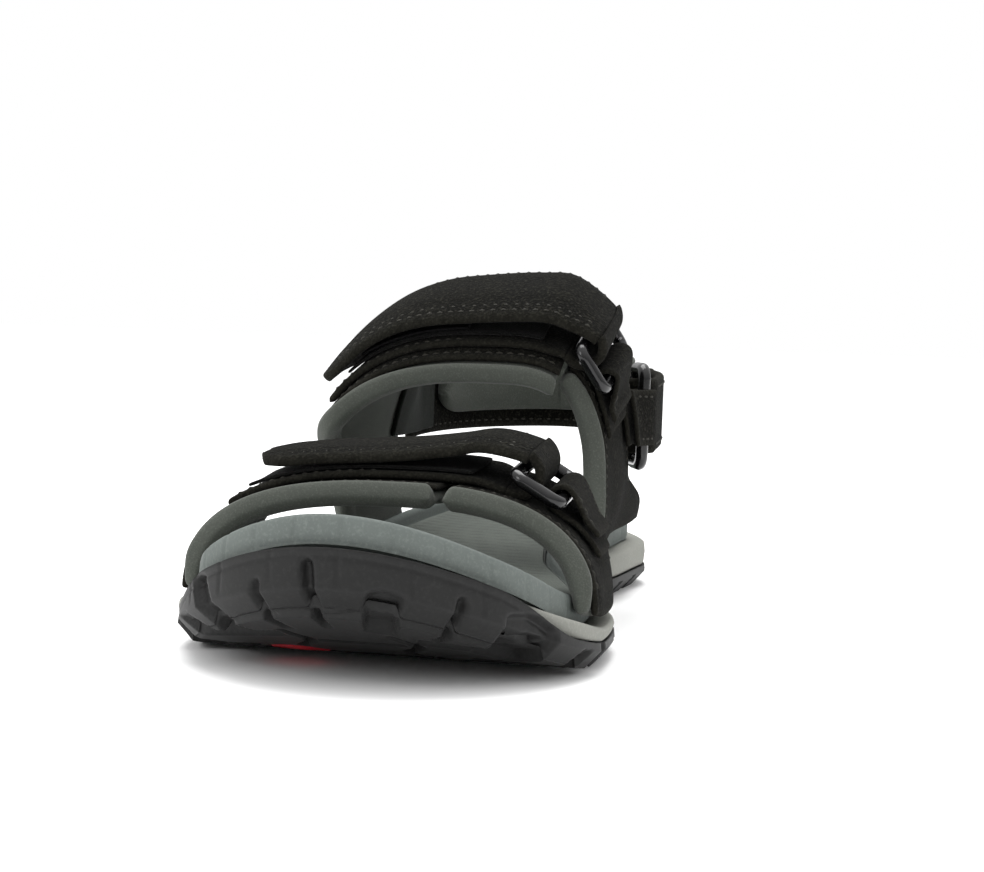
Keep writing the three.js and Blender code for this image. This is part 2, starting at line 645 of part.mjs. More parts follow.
add('heel_ring', ringOf(heelParts), glossPlastic);
const slingFlap = (strap + flap) / 2 + 3 * gap + 2 * tape; // from the sling's middle line out to the flap's
add('heel_flap', band((w) => [
  ...roundBar(heelParts.free, heelParts, w, heelBend, [150, 130, 110, 92]),
  ...steps(0.9, 0.74, 4).map((at) => slingPoint(at, w, slingFlap + 3.6 * smooth((at - 0.78) / 0.12) +
    2.5 * smooth((0.8 - at) / 0.06))),
], flap, 20), nubuck);
add('heel_loop_patch', slingPiece({
  from: 0.76, to: 0.88, low: -0.4, high: 0.4, inner: -strap / 2 - gap, outer: -strap / 2 - gap - tape, rows: 6,
}), loopTape);
add('heel_hook_patch', slingPiece({
  from: 0.785, to: 0.83, low: -0.4, high: 0.4,
  inner: -slingFlap + flap / 2 + gap + tape, outer: -slingFlap + flap / 2 + gap, rows: 4,
}), hookTape);

add('heel_ring_tab', band((w) => {
  const z = slingZ + w * (heelStrapWidth - 2 * tabSideClearance);
  const onWall = (y, d) => V(wallX(MEDIAL, y, z) + d, y, z);
  const folded = tabMiddle + tab + gap;
  return [
    ...[13.5, 10.5, 7.5, 4.5].map((d) => onWall(heelHingeY - d, tabMiddle + gap)),
    ...roundBar(heelHinge, { ...heelParts, width: heelStrapWidth - 2 * tabSideClearance }, w, tabTurn,
      [-90, -45, 0, 45, 90]),
    ...[10.5, 13].map((d) => onWall(heelHingeY - d, folded + rod * 0.8)),
  ];
}, tab, 32, 3), nubuck);

// Centred on the ground under the middle of its bounding box.
const bounds = new THREE.Box3().setFromObject(sandal);
const middle = bounds.getCenter(V(0, 0, 0));
sandal.position.set(-middle.x, -middle.y, -bounds.min.z);

export default sandal;
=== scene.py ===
# %% [markdown]
# # A strappy sport sandal for the right foot
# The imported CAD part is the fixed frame: it says where every piece sits and how the rings and
# flaps turn. This lesson keeps those places and makes each piece again as a fine surface, so the
# rubber has its tread, the nubuck its turned edges and stitches, and the padding its soft rolls.
# A sandal is made on a last, so all shapes are worked out in millimetres on the last and only
# put into metres in the frame when a mesh is made.

# %% Load the fixed frame
import json

import bpy
import numpy as np
from mathutils import Matrix, Vector


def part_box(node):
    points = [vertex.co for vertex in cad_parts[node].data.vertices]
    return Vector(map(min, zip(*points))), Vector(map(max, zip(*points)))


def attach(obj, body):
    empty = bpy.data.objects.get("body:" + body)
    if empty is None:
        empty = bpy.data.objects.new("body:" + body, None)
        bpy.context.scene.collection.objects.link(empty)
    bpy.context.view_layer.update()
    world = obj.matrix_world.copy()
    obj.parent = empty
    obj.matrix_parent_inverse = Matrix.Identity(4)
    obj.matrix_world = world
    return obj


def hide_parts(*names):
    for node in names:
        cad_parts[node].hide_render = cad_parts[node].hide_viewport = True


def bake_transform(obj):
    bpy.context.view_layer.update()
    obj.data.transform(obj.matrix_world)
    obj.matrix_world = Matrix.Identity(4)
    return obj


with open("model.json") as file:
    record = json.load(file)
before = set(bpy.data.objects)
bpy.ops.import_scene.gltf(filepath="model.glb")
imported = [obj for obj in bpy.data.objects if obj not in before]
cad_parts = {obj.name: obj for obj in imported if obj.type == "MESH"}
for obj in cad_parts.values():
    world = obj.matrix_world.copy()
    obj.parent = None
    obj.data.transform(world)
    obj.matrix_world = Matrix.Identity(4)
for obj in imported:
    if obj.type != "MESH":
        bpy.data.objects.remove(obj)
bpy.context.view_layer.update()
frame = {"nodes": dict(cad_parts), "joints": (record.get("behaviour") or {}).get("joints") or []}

# %% [markdown]
# ## Maker's arithmetic
# The outline and the last are smooth functions through a few measured widths and heights. A
# monotone cubic never bulges past its knots, so a narrow waist stays narrow. Every helper takes
# whole arrays, which is how numpy works out thousands of points without a loop.

# %% Small tools on arrays
MEDIAL, LATERAL = 1.0, -1.0


def clamp(x, low=0.0, high=1.0):
    return np.clip(x, low, high)


def smooth(s):
    """An S-shaped step: 0 below 0, 1 above 1, level at both ends."""
    s = clamp(s)
    return s * s * (3 - 2 * s)


def mix(a, b, s):
    return a + (b - a) * s


def hump(s):
    """Half a sine: 0 at 0, 1 at one half, 0 at 1 and outside."""
    return np.sin(np.pi * clamp(s))


def quarter_round(u):
    """The height of a quarter circle: 1 at u = 0, falling to 0 at u = 1."""
    return np.sqrt(np.maximum(0, 1 - clamp(u) ** 2))


def bell(x, width):
    """A soft ridge of height 1 round x = 0 that is about `width` wide."""
    return np.exp(-((2 * x / width) ** 2))


def through(knots):
    """A monotone cubic through [x, value] knots, whose slopes are harmonic means."""
    x, v = np.array(knots, float).T
    slope = np.diff(v) / np.diff(x)
    tangent = np.concatenate([slope[:1], np.zeros(len(x) - 2), slope[-1:]])
    a, b = slope[:-1], slope[1:]
    same = a * b > 0
    tangent[1:-1][same] = 2 * a[same] * b[same] / (a[same] + b[same])

    def curve(q):
        q = np.clip(q, x[0], x[-1])
        i = np.clip(np.searchsorted(x, q, side="right") - 1, 0, len(x) - 2)
        h = x[i + 1] - x[i]
        s = (q - x[i]) / h
        return (v[i] * (1 + 2 * s) * (1 - s) ** 2 + tangent[i] * h * s * (1 - s) ** 2
                + v[i + 1] * s * s * (3 - 2 * s) + tangent[i + 1] * h * s * s * (s - 1))

    return curve


def unit(v):
    return v / np.maximum(np.linalg.norm(v, axis=-1, keepdims=True), 1e-9)


def xyz(x, y, z):
    return np.stack(np.broadcast_arrays(x, y, z), -1).astype(float)


# %% [markdown]
# ## The sole's outline and levels
# Seen from above the sole is two edges, one on each side of a middle line that swings gently to
# the inner side. Each edge is a reach from that line: widest at the ball, narrow at the arch.
# From the side, the ground line curls up at the toe and is bevelled at the heel. These few
# driving sizes are the CAD part's own, so the surfaces below land exactly on it.

# %% The outline, in millimetres
SOLE_LENGTH, TOE_TIP_Y = 288.0, -104.0
HEEL_Y = TOE_TIP_Y + SOLE_LENGTH
BALL_MEDIAL, BALL_LATERAL, WAIST_MEDIAL, HEEL_REACH = 52.3, 58.0, 28.0, 34.8
TOE_SWING, TOE_SPRING, TOE_SPRING_LENGTH = 4.0, 18.9, 78.0
HEEL_ROUND = HEEL_REACH / SOLE_LENGTH
MEDIAL_TOE_ROUND, LATERAL_TOE_ROUND = 0.22, 0.3
GAP = 0.35

medial_reach = through([
    [HEEL_ROUND, HEEL_REACH], [0.25, 0.95 * HEEL_REACH], [0.38, WAIST_MEDIAL], [0.48, 1.12 * WAIST_MEDIAL],
    [0.58, 0.78 * BALL_MEDIAL], [0.68, 0.95 * BALL_MEDIAL], [1 - MEDIAL_TOE_ROUND, BALL_MEDIAL]])
lateral_reach = through([
    [HEEL_ROUND, HEEL_REACH], [0.25, 0.64 * BALL_LATERAL], [0.35, 0.695 * BALL_LATERAL],
    [0.45, 0.775 * BALL_LATERAL], [0.55, 0.89 * BALL_LATERAL], [0.62, 0.96 * BALL_LATERAL],
    [1 - LATERAL_TOE_ROUND, BALL_LATERAL]])


def along_sole(y):
    """0 at the heel's end, 1 at the toe tip."""
    return (HEEL_Y - y) / SOLE_LENGTH


def middle_line(t):
    return TOE_SWING * smooth((t - 0.15) / 0.5)


def edge_x(side, t):
    """The sole's edge on one side: the middle line plus that side's reach, rounded at both ends."""
    medial = np.asarray(side) > 0
    toe_round = np.where(medial, MEDIAL_TOE_ROUND, LATERAL_TOE_ROUND)
    reach = np.where(medial, medial_reach(t), lateral_reach(t))
    ends = quarter_round(1 - t / HEEL_ROUND) * quarter_round((t - 1 + toe_round) / toe_round)
    ends = np.where((t < HEEL_ROUND) | (t > 1 - toe_round), ends, 1)
    return middle_line(t) + side * reach * ends


def edge_point(a):
    """Round the sole: a is 0 at the heel, 0.5 at the toe tip by the outer side, 1 at the heel again."""
    turn = np.mod(a, 1)
    t = (1 - np.cos(2 * np.pi * turn)) / 2
    side = np.where(turn < 0.5, LATERAL, MEDIAL)
    return xyz(edge_x(side, t), HEEL_Y - SOLE_LENGTH * t, 0)


def inset_point(a, inset):
    """A point of the outline pulled in by `inset` at right angles to the outline."""
    along = unit(edge_point(a + 0.004) - edge_point(a - 0.004))
    inward = np.stack([-along[..., 1], along[..., 0], 0 * along[..., 0]], -1)
    return edge_point(a) + inward * np.asarray(inset)[..., None]


# %% Levels along the sole
HEEL_BEVEL, HEEL_BEVEL_LENGTH = 3.0, 26.0
THIN_SOLE, THICK_SOLE, RUBBER_FLOOR, WALL_OVER_FLOOR = 9.4, 14.0, 5.5, 0.9
BUMPER_START_Y, BUMPER_FADE = -60.0, 28.0


def ground_z(y):
    toe = clamp((TOE_TIP_Y + TOE_SPRING_LENGTH - y) / TOE_SPRING_LENGTH) ** 2
    heel_bevel = clamp((y - HEEL_Y + HEEL_BEVEL_LENGTH) / HEEL_BEVEL_LENGTH) ** 2
    return TOE_SPRING * toe + HEEL_BEVEL * heel_bevel


def rim_z(y):
    """The top of the midsole's edge: thin at the ball, thicker at toe and heel."""
    front = mix(THIN_SOLE, THICK_SOLE, clamp(y / TOE_TIP_Y) ** 2)
    back = mix(THIN_SOLE, THICK_SOLE, clamp(y / (SOLE_LENGTH / 2)))
    return ground_z(y) + np.where(y < 0, front, back)


def toeness(y):
    """0 behind the ball, 1 where the rubber has climbed into the toe bumper."""
    return smooth((BUMPER_START_Y - y) / BUMPER_FADE)


def floor_z(y):
    return ground_z(y) + RUBBER_FLOOR


def wall_z(y):
    """How high the rubber climbs: just over its own floor, or the whole edge at the toe."""
    return mix(floor_z(y) + WALL_OVER_FLOOR, rim_z(y), toeness(y))


insert_low, insert_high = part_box("red_outsole_insert")
INSERT_TO_OUTER_SIDE, INSERT_Y = 19.0, -58.0
INSERT_XY = np.array([TOE_SWING - INSERT_TO_OUTER_SIDE, INSERT_Y])
CENTRE = np.array([*(INSERT_XY - 500 * np.array((insert_low + insert_high)[:2])), 0])
print("the frame's origin on the last, mm:", CENTRE.round(3))

# %% [markdown]
# ## From arrays to meshes
# A surface is a grid of points; its faces are the squares between neighbours. Where a surface
# closes on itself, as at an edge or a pole, equal points are welded into one, so each piece is a
# sealed solid. Its volume's sign tells whether the faces look outwards, and turns them if not.

# %% Grids, welding and pieces
def grid_faces(rows, columns, wrap=False):
    """The squares of a grid numbered row by row; with wrap the last column meets the first."""
    i = np.arange(rows - 1)[:, None]
    j = np.arange(columns if wrap else columns - 1)[None, :]
    k = (j + 1) % columns
    return np.stack([i * columns + j, i * columns + k, (i + 1) * columns + k, (i + 1) * columns + j],
                    -1).reshape(-1, 4)


def weld(points, faces):
    """Points that coincide to a few microns become one, and squares that collapse become triangles."""
    _, first, index = np.unique(np.round(points, 3), axis=0, return_index=True, return_inverse=True)
    faces = index.reshape(-1)[faces]
    fresh = faces != np.roll(faces, 1, axis=1)
    whole = fresh.all(1)
    folded = [list(dict.fromkeys(face)) for face in faces[~whole].tolist()]
    return first, faces[whole].tolist() + [face for face in folded if len(face) > 2]


def signed_volume(points, faces):
    quads = np.array([face if len(face) == 4 else face + face[-1:] for face in faces])
    a, b, c, d = (points[quads[:, k]] for k in range(4))
    return (np.cross(a, b) * c).sum() + (np.cross(a, c) * d).sum()


def add_piece(name, points, faces, finish, slot, body="root", stands_for=(), rim=None):
    """One finished piece: welded, facing outwards, shaded smooth, in metres in the frame, on its body when
    that is a name; otherwise fixed in place.
    """
    points = points.reshape(-1, 3)
    first, faces = weld(points, faces)
    if signed_volume(points[first], faces) < 0:
        faces = [face[::-1] for face in faces]
    mesh = bpy.data.meshes.new(name)
    mesh.from_pydata(((points[first] - CENTRE) / 1000).tolist(), [], faces)
    mesh.polygons.foreach_set("use_smooth", np.ones(len(mesh.polygons), bool))
    if rim is not None:
        layer = mesh.attributes.new("rim", "FLOAT", "POINT")
        layer.data.foreach_set("value", rim.reshape(-1)[first].astype(np.float32))
    mesh.materials.append(finish)
    mesh.update()
    obj = bpy.data.objects.new(name, mesh)
    bpy.context.scene.collection.objects.link(obj)
    if isinstance(body, str):
        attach(obj, body)
    else:
        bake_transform(obj)
    if stands_for:
        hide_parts(*stands_for)
    print(f"{name}: {len(mesh.vertices)} points, {len(mesh.polygons)} faces")
    return obj


# %% [markdown]
# ## Thick sheets with soft edges
# Leather, webbing, tape and padding are all sheets. A box-like edge looks like card, so each
# sheet is a middle surface pushed out and in by half its thickness, and that thickness falls
# away on a quarter circle over the last millimetre or two before every edge. Extra grid lines
# sit there, where the surface turns fastest. An attribute named rim is 1 at the edge and 0 a
# little way in, so that a finish can be rubbed paler there. The footbed's cover uses the same
# attribute for painted shade: its pressed lines are coloured darker, as shade in the hollows.

# %% The shell maker
RIM_WIDTH = 2.5


def rim_steps(count, length, radius):
    """Values from 0 to 1: `count` even ones, and close ones near both ends where the edge turns."""
    near = min(radius / length, 0.2) * np.array([0, 0.06, 0.25, 0.6, 1.0])
    even = np.linspace(near[-1], 1 - near[-1], count)
    return np.concatenate([near[:-1], even, 1 - near[:-1][::-1]])


def run_lengths(points, axis):
    """The distance walked along the grid in one direction, from its first line."""
    step = np.linalg.norm(np.diff(points, axis=axis), axis=-1)
    start = np.zeros_like(np.take(step, [0], axis=axis))
    return np.concatenate([start, np.cumsum(step, axis=axis)], axis=axis)


def edge_distances(points, axis):
    run = run_lengths(points, axis)
    return run, np.take(run, [-1], axis=axis) - run


def surface_normals(points):
    """At right angles to both grid directions: down the columns crossed with along the rows."""
    return unit(np.cross(np.gradient(points, axis=0), np.gradient(points, axis=1)))


def shell(points, normals, high, low, radius, cut=(False, False)):
    """A closed sheet from `low` to `high` off a surface, its thickness falling to nothing at the edges.
    `cut` says whether the first and the last row are cut flat instead."""
    first, last = edge_distances(points, 1)
    near = np.minimum(first, last)
    share = quarter_round(1 - near / radius)
    for is_cut, away in zip(cut, edge_distances(points, 0)):
        if not is_cut:
            share = share * quarter_round(1 - away / radius)
            near = np.minimum(near, away)
    middle, half = (high + low) / 2 * np.ones(near.shape), (high - low) / 2 * share
    top = points + normals * (middle + half)[..., None]
    bottom = points + normals * (middle - half)[..., None]
    rows, columns = near.shape
    faces = [grid_faces(rows, columns), grid_faces(rows, columns)[:, ::-1] + rows * columns]
    for is_cut, row in zip(cut, (0, rows - 1)):
        if is_cut:
            edge = row * columns + np.arange(columns)
            cap = np.stack([edge[:-1], edge[1:], edge[1:] + rows * columns, edge[:-1] + rows * columns], -1)
            faces.append(cap if row else cap[:, ::-1])
    rim = 1 - clamp(near / RIM_WIDTH)
    return np.stack([top, bottom]), np.concatenate(faces), np.stack([rim, rim])


# %% [markdown]
# ## Finishes
# The sandal wears few colours: charcoal rubber, pale foam, a grey footbed and padding with a
# touch of green, and a warm black nubuck. What tells them apart is their surface, so most of the
# work is in grain: nubuck is brushed and speckled, padding is a fine knit, rubber has a faint
# moulded skin. One shared group makes grain from two sizes of noise and gives back a colour, a
# roughness and a normal, and each material sets its own amounts.

# %% The shared grain group
def new_group(name, inputs, outputs):
    group = bpy.data.node_groups.new(name, "ShaderNodeTree")
    for label, kind, value in inputs:
        socket = group.interface.new_socket(label, in_out="INPUT", socket_type=kind)
        socket.default_value = value
    for label, kind in outputs:
        group.interface.new_socket(label, in_out="OUTPUT", socket_type=kind)
    return group, group.nodes.new("NodeGroupInput"), group.nodes.new("NodeGroupOutput")


def math_node(tree, operation, a, b):
    node = tree.nodes.new("ShaderNodeMath")
    node.operation = operation
    for socket, value in zip(node.inputs, (a, b)):
        if isinstance(value, (int, float)):
            socket.default_value = value
        else:
            tree.links.new(value, socket)
    return node.outputs[0]


def colour_mix(tree, share, a, b, blend="MIX"):
    node = tree.nodes.new("ShaderNodeMix")
    node.data_type, node.blend_type = "RGBA", blend
    for socket, value in ((node.inputs[0], share), (node.inputs[6], a), (node.inputs[7], b)):
        if isinstance(value, (int, float, tuple)):
            socket.default_value = value
        else:
            tree.links.new(value, socket)
    return node.outputs[2]


def noise(tree, place, scale, detail=4.0, roughness=0.6):
    node = tree.nodes.new("ShaderNodeTexNoise")
    node.inputs["Detail"].default_value = detail
    node.inputs["Roughness"].default_value = roughness
    tree.links.new(place, node.inputs["Vector"])
    if isinstance(scale, (int, float)):
        node.inputs["Scale"].default_value = scale
    else:
        tree.links.new(scale, node.inputs["Scale"])
    return node.outputs["Fac"]


def ramp(tree, value, low, high):
    """0 below low, 1 above high, straight in between."""
    node = tree.nodes.new("ShaderNodeMapRange")
    node.inputs["From Min"].default_value = low
    node.inputs["From Max"].default_value = high
    tree.links.new(value, node.inputs["Value"])
    return node.outputs["Result"]


def make_grain_group():
    """Speckle and pits from fine noise, slow patches from coarse noise."""
    group, given, out = new_group("Surface grain", [
        ("Place", "NodeSocketVector", (0, 0, 0)), ("Colour", "NodeSocketColor", (0.5, 0.5, 0.5, 1)),
        ("Speck colour", "NodeSocketColor", (0.6, 0.6, 0.6, 1)), ("Speck share", "NodeSocketFloat", 0.5),
        ("Fine scale", "NodeSocketFloat", 900.0), ("Patch scale", "NodeSocketFloat", 40.0),
        ("Patch depth", "NodeSocketFloat", 0.2), ("Base roughness", "NodeSocketFloat", 0.8),
        ("Bump", "NodeSocketFloat", 0.3), ("Bump height", "NodeSocketFloat", 0.0002),
    ], [("Colour", "NodeSocketColor"), ("Roughness", "NodeSocketFloat"), ("Normal", "NodeSocketVector")])
    place = given.outputs["Place"]
    fine = noise(group, place, given.outputs["Fine scale"], detail=3)
    patch = noise(group, place, given.outputs["Patch scale"], detail=3)
    specks = math_node(group, "MULTIPLY", ramp(group, fine, 0.5, 0.72), given.outputs["Speck share"])
    speckled = colour_mix(group, specks, given.outputs["Colour"], given.outputs["Speck colour"])
    fade = math_node(group, "MULTIPLY", ramp(group, patch, 0.35, 0.7), given.outputs["Patch depth"])
    group.links.new(colour_mix(group, fade, speckled, given.outputs["Speck colour"]), out.inputs["Colour"])
    rough = math_node(group, "MULTIPLY", math_node(group, "SUBTRACT", patch, 0.5), 0.25)
    group.links.new(math_node(group, "ADD", rough, given.outputs["Base roughness"]), out.inputs["Roughness"])
    bump = group.nodes.new("ShaderNodeBump")
    group.links.new(given.outputs["Bump"], bump.inputs["Strength"])
    group.links.new(given.outputs["Bump height"], bump.inputs["Distance"])
    group.links.new(fine, bump.inputs["Height"])
    group.links.new(bump.outputs["Normal"], out.inputs["Normal"])
    return group


GRAIN = make_grain_group()
print("shared grain group ready")


# %% One function for every finish
WEAR_AND_SHADE_PATCH_SCALE, COAT_ROUGHNESS = 260.0, 0.12


def srgb(red, green, blue):
    """A colour as it looks, 0 to 255, turned into the linear light that shaders use."""
    c = np.array([red, green, blue]) / 255
    c = np.where(c <= 0.04045, c / 12.92, ((c + 0.055) / 1.055) ** 2.4)
    return (*(float(v) for v in c), 1.0)


def finish(name, colour, speck, share, fine, patch, depth, roughness, bump, height,
           sheen=0.0, sheen_roughness=0.5, specular=0.5, rim_colour=None, rim_share=0.0, coat=0.0):
    """A Principled material whose colour, roughness and normal come from the grain group."""
    material = bpy.data.materials.new(name)
    material.use_nodes = True
    tree = material.node_tree
    shader = tree.nodes["Principled BSDF"]
    place = tree.nodes.new("ShaderNodeTexCoord").outputs["Object"]
    grain = tree.nodes.new("ShaderNodeGroup")
    grain.node_tree = GRAIN
    tree.links.new(place, grain.inputs["Place"])
    for label, value in (("Colour", colour), ("Speck colour", speck), ("Speck share", share),
                         ("Fine scale", fine), ("Patch scale", patch), ("Patch depth", depth),
                         ("Base roughness", roughness), ("Bump", bump), ("Bump height", height)):
        grain.inputs[label].default_value = value
    colour_out = grain.outputs["Colour"]
    # The rim attribute shifts the colour: paler rubbed wear on nubuck and padding edges, and darker painted
    # shade in the footbed cover's pressed lines.
    if rim_colour is not None:
        edge = tree.nodes.new("ShaderNodeAttribute")
        edge.attribute_name = "rim"
        wear_and_shade = math_node(tree, "MULTIPLY", edge.outputs["Fac"], noise(tree, place, WEAR_AND_SHADE_PATCH_SCALE))
        wear_and_shade = math_node(tree, "MULTIPLY", wear_and_shade, rim_share)
        colour_out = colour_mix(tree, wear_and_shade, colour_out, rim_colour)
    tree.links.new(colour_out, shader.inputs["Base Color"])
    tree.links.new(grain.outputs["Roughness"], shader.inputs["Roughness"])
    tree.links.new(grain.outputs["Normal"], shader.inputs["Normal"])
    shader.inputs["Sheen Weight"].default_value = sheen
    shader.inputs["Sheen Roughness"].default_value = sheen_roughness
    shader.inputs["Specular IOR Level"].default_value = specular
    shader.inputs["Coat Weight"].default_value = coat
    shader.inputs["Coat Roughness"].default_value = COAT_ROUGHNESS
    return material


NUBUCK = finish("Warm black nubuck", srgb(9, 9, 7), srgb(50, 49, 43), 0.7, 1250.0, 48.0, 0.1,
                0.95, 0.9, 0.0008, sheen=0.02, specular=0.04, rim_colour=srgb(46, 45, 40), rim_share=0.8)
THREAD = finish("Waxed black thread", srgb(38, 37, 33), srgb(76, 74, 66), 0.5, 2600.0, 200.0, 0.2,
                0.6, 0.5, 0.0002, specular=0.2)
PADDING = finish("Green-grey knit padding", srgb(68, 71, 66), srgb(100, 103, 97), 0.5, 2300.0, 60.0,
                 0.18, 0.95, 0.5, 0.0003, sheen=0.12, specular=0.06, rim_colour=srgb(88, 92, 86),
                 rim_share=0.5)
OUTSOLE_RUBBER = finish("Charcoal moulded rubber", srgb(22, 22, 22), srgb(50, 50, 49), 0.25, 900.0, 30.0,
                        0.22, 0.55, 0.25, 0.00015, specular=0.25)
RED_RUBBER = finish("Red moulded rubber", srgb(196, 28, 46), srgb(214, 62, 74), 0.3, 900.0, 60.0, 0.2,
                    0.5, 0.2, 0.0001)
MIDSOLE_FOAM = finish("Pale midsole foam", srgb(132, 133, 127), srgb(156, 156, 149), 0.5, 1300.0, 35.0,
                      0.25, 0.78, 0.3, 0.00015, specular=0.2)
FOOTBED_FOAM = finish("Grey footbed foam", srgb(96, 102, 99), srgb(120, 126, 122), 0.5, 1300.0, 30.0,
                      0.22, 0.8, 0.35, 0.0002, specular=0.2)
# The dark rim colour here is painted shade: it darkens the cover's pressed lines, where shade falls in the
# hollows.
FOOTBED_CLOTH = finish("Brushed footbed cloth", srgb(84, 89, 84), srgb(112, 117, 110), 0.6, 2200.0,
                       45.0, 0.25, 0.95, 0.5, 0.0003, sheen=0.1, specular=0.08,
                       rim_colour=srgb(38, 41, 39), rim_share=1.5)
GLOSS = finish("Glossy black plastic", srgb(12, 12, 13), srgb(22, 22, 24), 0.2, 500.0, 40.0, 0.1,
               0.2, 0.05, 0.00005, specular=0.35, coat=0.25)
ELASTIC = finish("Ribbed black elastic", srgb(20, 23, 20), srgb(48, 52, 46), 0.6, 2600.0, 60.0, 0.2,
                 0.9, 0.6, 0.0003, sheen=0.06, specular=0.08)
LOOP_TAPE = finish("Fuzzy loop tape", srgb(10, 10, 10), srgb(46, 46, 44), 0.8, 3200.0, 90.0, 0.2,
                   1.0, 0.9, 0.0008, sheen=0.06, specular=0.04)
HOOK_TAPE = finish("Hook tape", srgb(10, 10, 11), srgb(40, 40, 42), 0.5, 2600.0, 90.0, 0.2,
                   0.6, 0.6, 0.0004, specular=0.08)
BOARD = finish("Pressed fibre board", srgb(150, 134, 108), srgb(186, 170, 142), 0.6, 1200.0, 40.0, 0.3,
               0.9, 0.4, 0.0002)
NYLON = finish("Filled nylon", srgb(38, 38, 40), srgb(58, 58, 60), 0.4, 700.0, 40.0, 0.2,
               0.5, 0.2, 0.0001)
print("finishes:", len(bpy.data.materials))

# %% [markdown]
# ## The outsole
# The rubber unit is one moulding: a wall that wraps up round the toe as a bumper, and a tread of
# lugs cut by cross grooves. Cutting boxes out of a block leaves razor edges, so the tread is
# worked out as a height instead. Round the sole a profile is swept along the outline, and the
# underside is a grid from edge to edge. Both read the same relief, a depth in millimetres that
# is a sum of soft-edged grooves and pockets, so a hollow runs on from the wall to the underside.

# %% Where the grooves and pockets are
TREAD_DEPTH, LUG_PITCH, LUG_GAP, LUG_TURN = 3.5, 21.0, 4.4, 0.3
OUTLINE_STEPS = 900
outline_at = np.arange(OUTLINE_STEPS) / OUTLINE_STEPS
outline = edge_point(outline_at)
outline_run = np.concatenate([[0], np.cumsum(np.linalg.norm(np.diff(outline, axis=0), axis=1))])
toe_run = np.interp(0.5, outline_at, outline_run)


def from_toe(a):
    """Millimetres along the outline from the toe tip, below 0 on the outer side."""
    return np.interp(np.mod(a, 1), outline_at, outline_run) - toe_run


def block(x, half_width, softness=0.5):
    """1 within half_width of 0, falling to 0 over a soft edge."""
    return smooth((half_width - np.abs(x)) / softness / 2 + 0.5)


# Each toe pocket: its place round the outline, then in mm half its width, its height and how far its
# foot leans to the inner side for each mm down.
TOE_POCKETS = [(0.372, 8.2, 9.5, 0.15), (0.424, 3.6, 11.5, 0.55), (0.462, 1.0, 7.0, 0.0),
               (0.492, 1.2, 11.0, 0.1), (0.528, 4.2, 5.5, -0.2), (0.561, 0.9, 8.0, -0.2),
               (0.598, 8.4, 8.8, -0.1), (0.655, 2.6, 7.0, 0.0)]


def toe_pockets(a, height):
    """Hollows in the toe bumper: each is a soft block whose top is an arch, leaning a little."""
    depth = 0.0
    for place, half_width, top, lean in TOE_POCKETS:
        away = from_toe(a) - from_toe(place) + lean * (height - 4)
        arch = top - 0.22 * np.abs(away) ** 1.5 / np.sqrt(half_width)
        depth = np.maximum(depth, block(away, half_width, 0.8) * smooth((arch - height) / 2.0 + 0.5))
    return depth


def side_grooves(x, y, reach=26.0):
    """The raked grooves between the lugs, open at the sole's edge and `reach` mm long."""
    depth = 0.0
    for place in np.arange(TOE_TIP_Y + 26, HEEL_Y - 16, LUG_PITCH):
        for side in (LATERAL, MEDIAL):
            edge = edge_x(side, along_sole(place))
            across, ahead = x - (edge - side * 8), y - place
            turn = side * LUG_TURN
            over = across * np.cos(turn) + ahead * np.sin(turn)
            off = -across * np.sin(turn) + ahead * np.cos(turn)
            depth = np.maximum(depth, block(off, LUG_GAP / 2) * block(over, reach - 8))
    return depth


def centre_tread(x, y):
    """Small lugs down the middle: shallow cross cuts at half pitch and two wavy channels."""
    middle = middle_line(along_sole(y))
    wave = 2.4 * np.sin(2 * np.pi * (y - TOE_TIP_Y) / LUG_PITCH)
    channels = np.maximum(block(x - middle - 13 - wave, 1.1), block(x - middle + 13 - wave, 1.1))
    cuts = block(np.mod(y - TOE_TIP_Y - 15.5, LUG_PITCH) - LUG_PITCH / 2, 0.9) * block(x - middle, 12.0)
    ends = smooth((y - TOE_TIP_Y - 16) / 6) * smooth((HEEL_Y - 14 - y) / 6)
    return 0.75 * np.maximum(channels, cuts) * ends


insert_radius = 500 * (insert_high.x - insert_low.x)


# %% The outsole's surface
def polyline(points, t):
    """A point of a polyline with rounded-off run: t goes from 0 to 1 evenly along its length."""
    points = np.asarray(points, float)
    run = np.concatenate([[0], np.cumsum(np.linalg.norm(np.diff(points, axis=0), axis=1))])
    return np.stack([np.interp(t * run[-1], run, points[:, k]) for k in range(points.shape[1])], -1)


WALL_STEPS, LIP_STEPS = 30, 8
FOOT_SHARE, FOOT_HEIGHT = 0.4, 4.4
POCKET_DEPTH, SIDE_GROOVE_DEPTH = 2.4, 1.6
UNDERSIDE_COLUMNS = 136  # as fine as keeps the whole outsole under 200,000 triangles


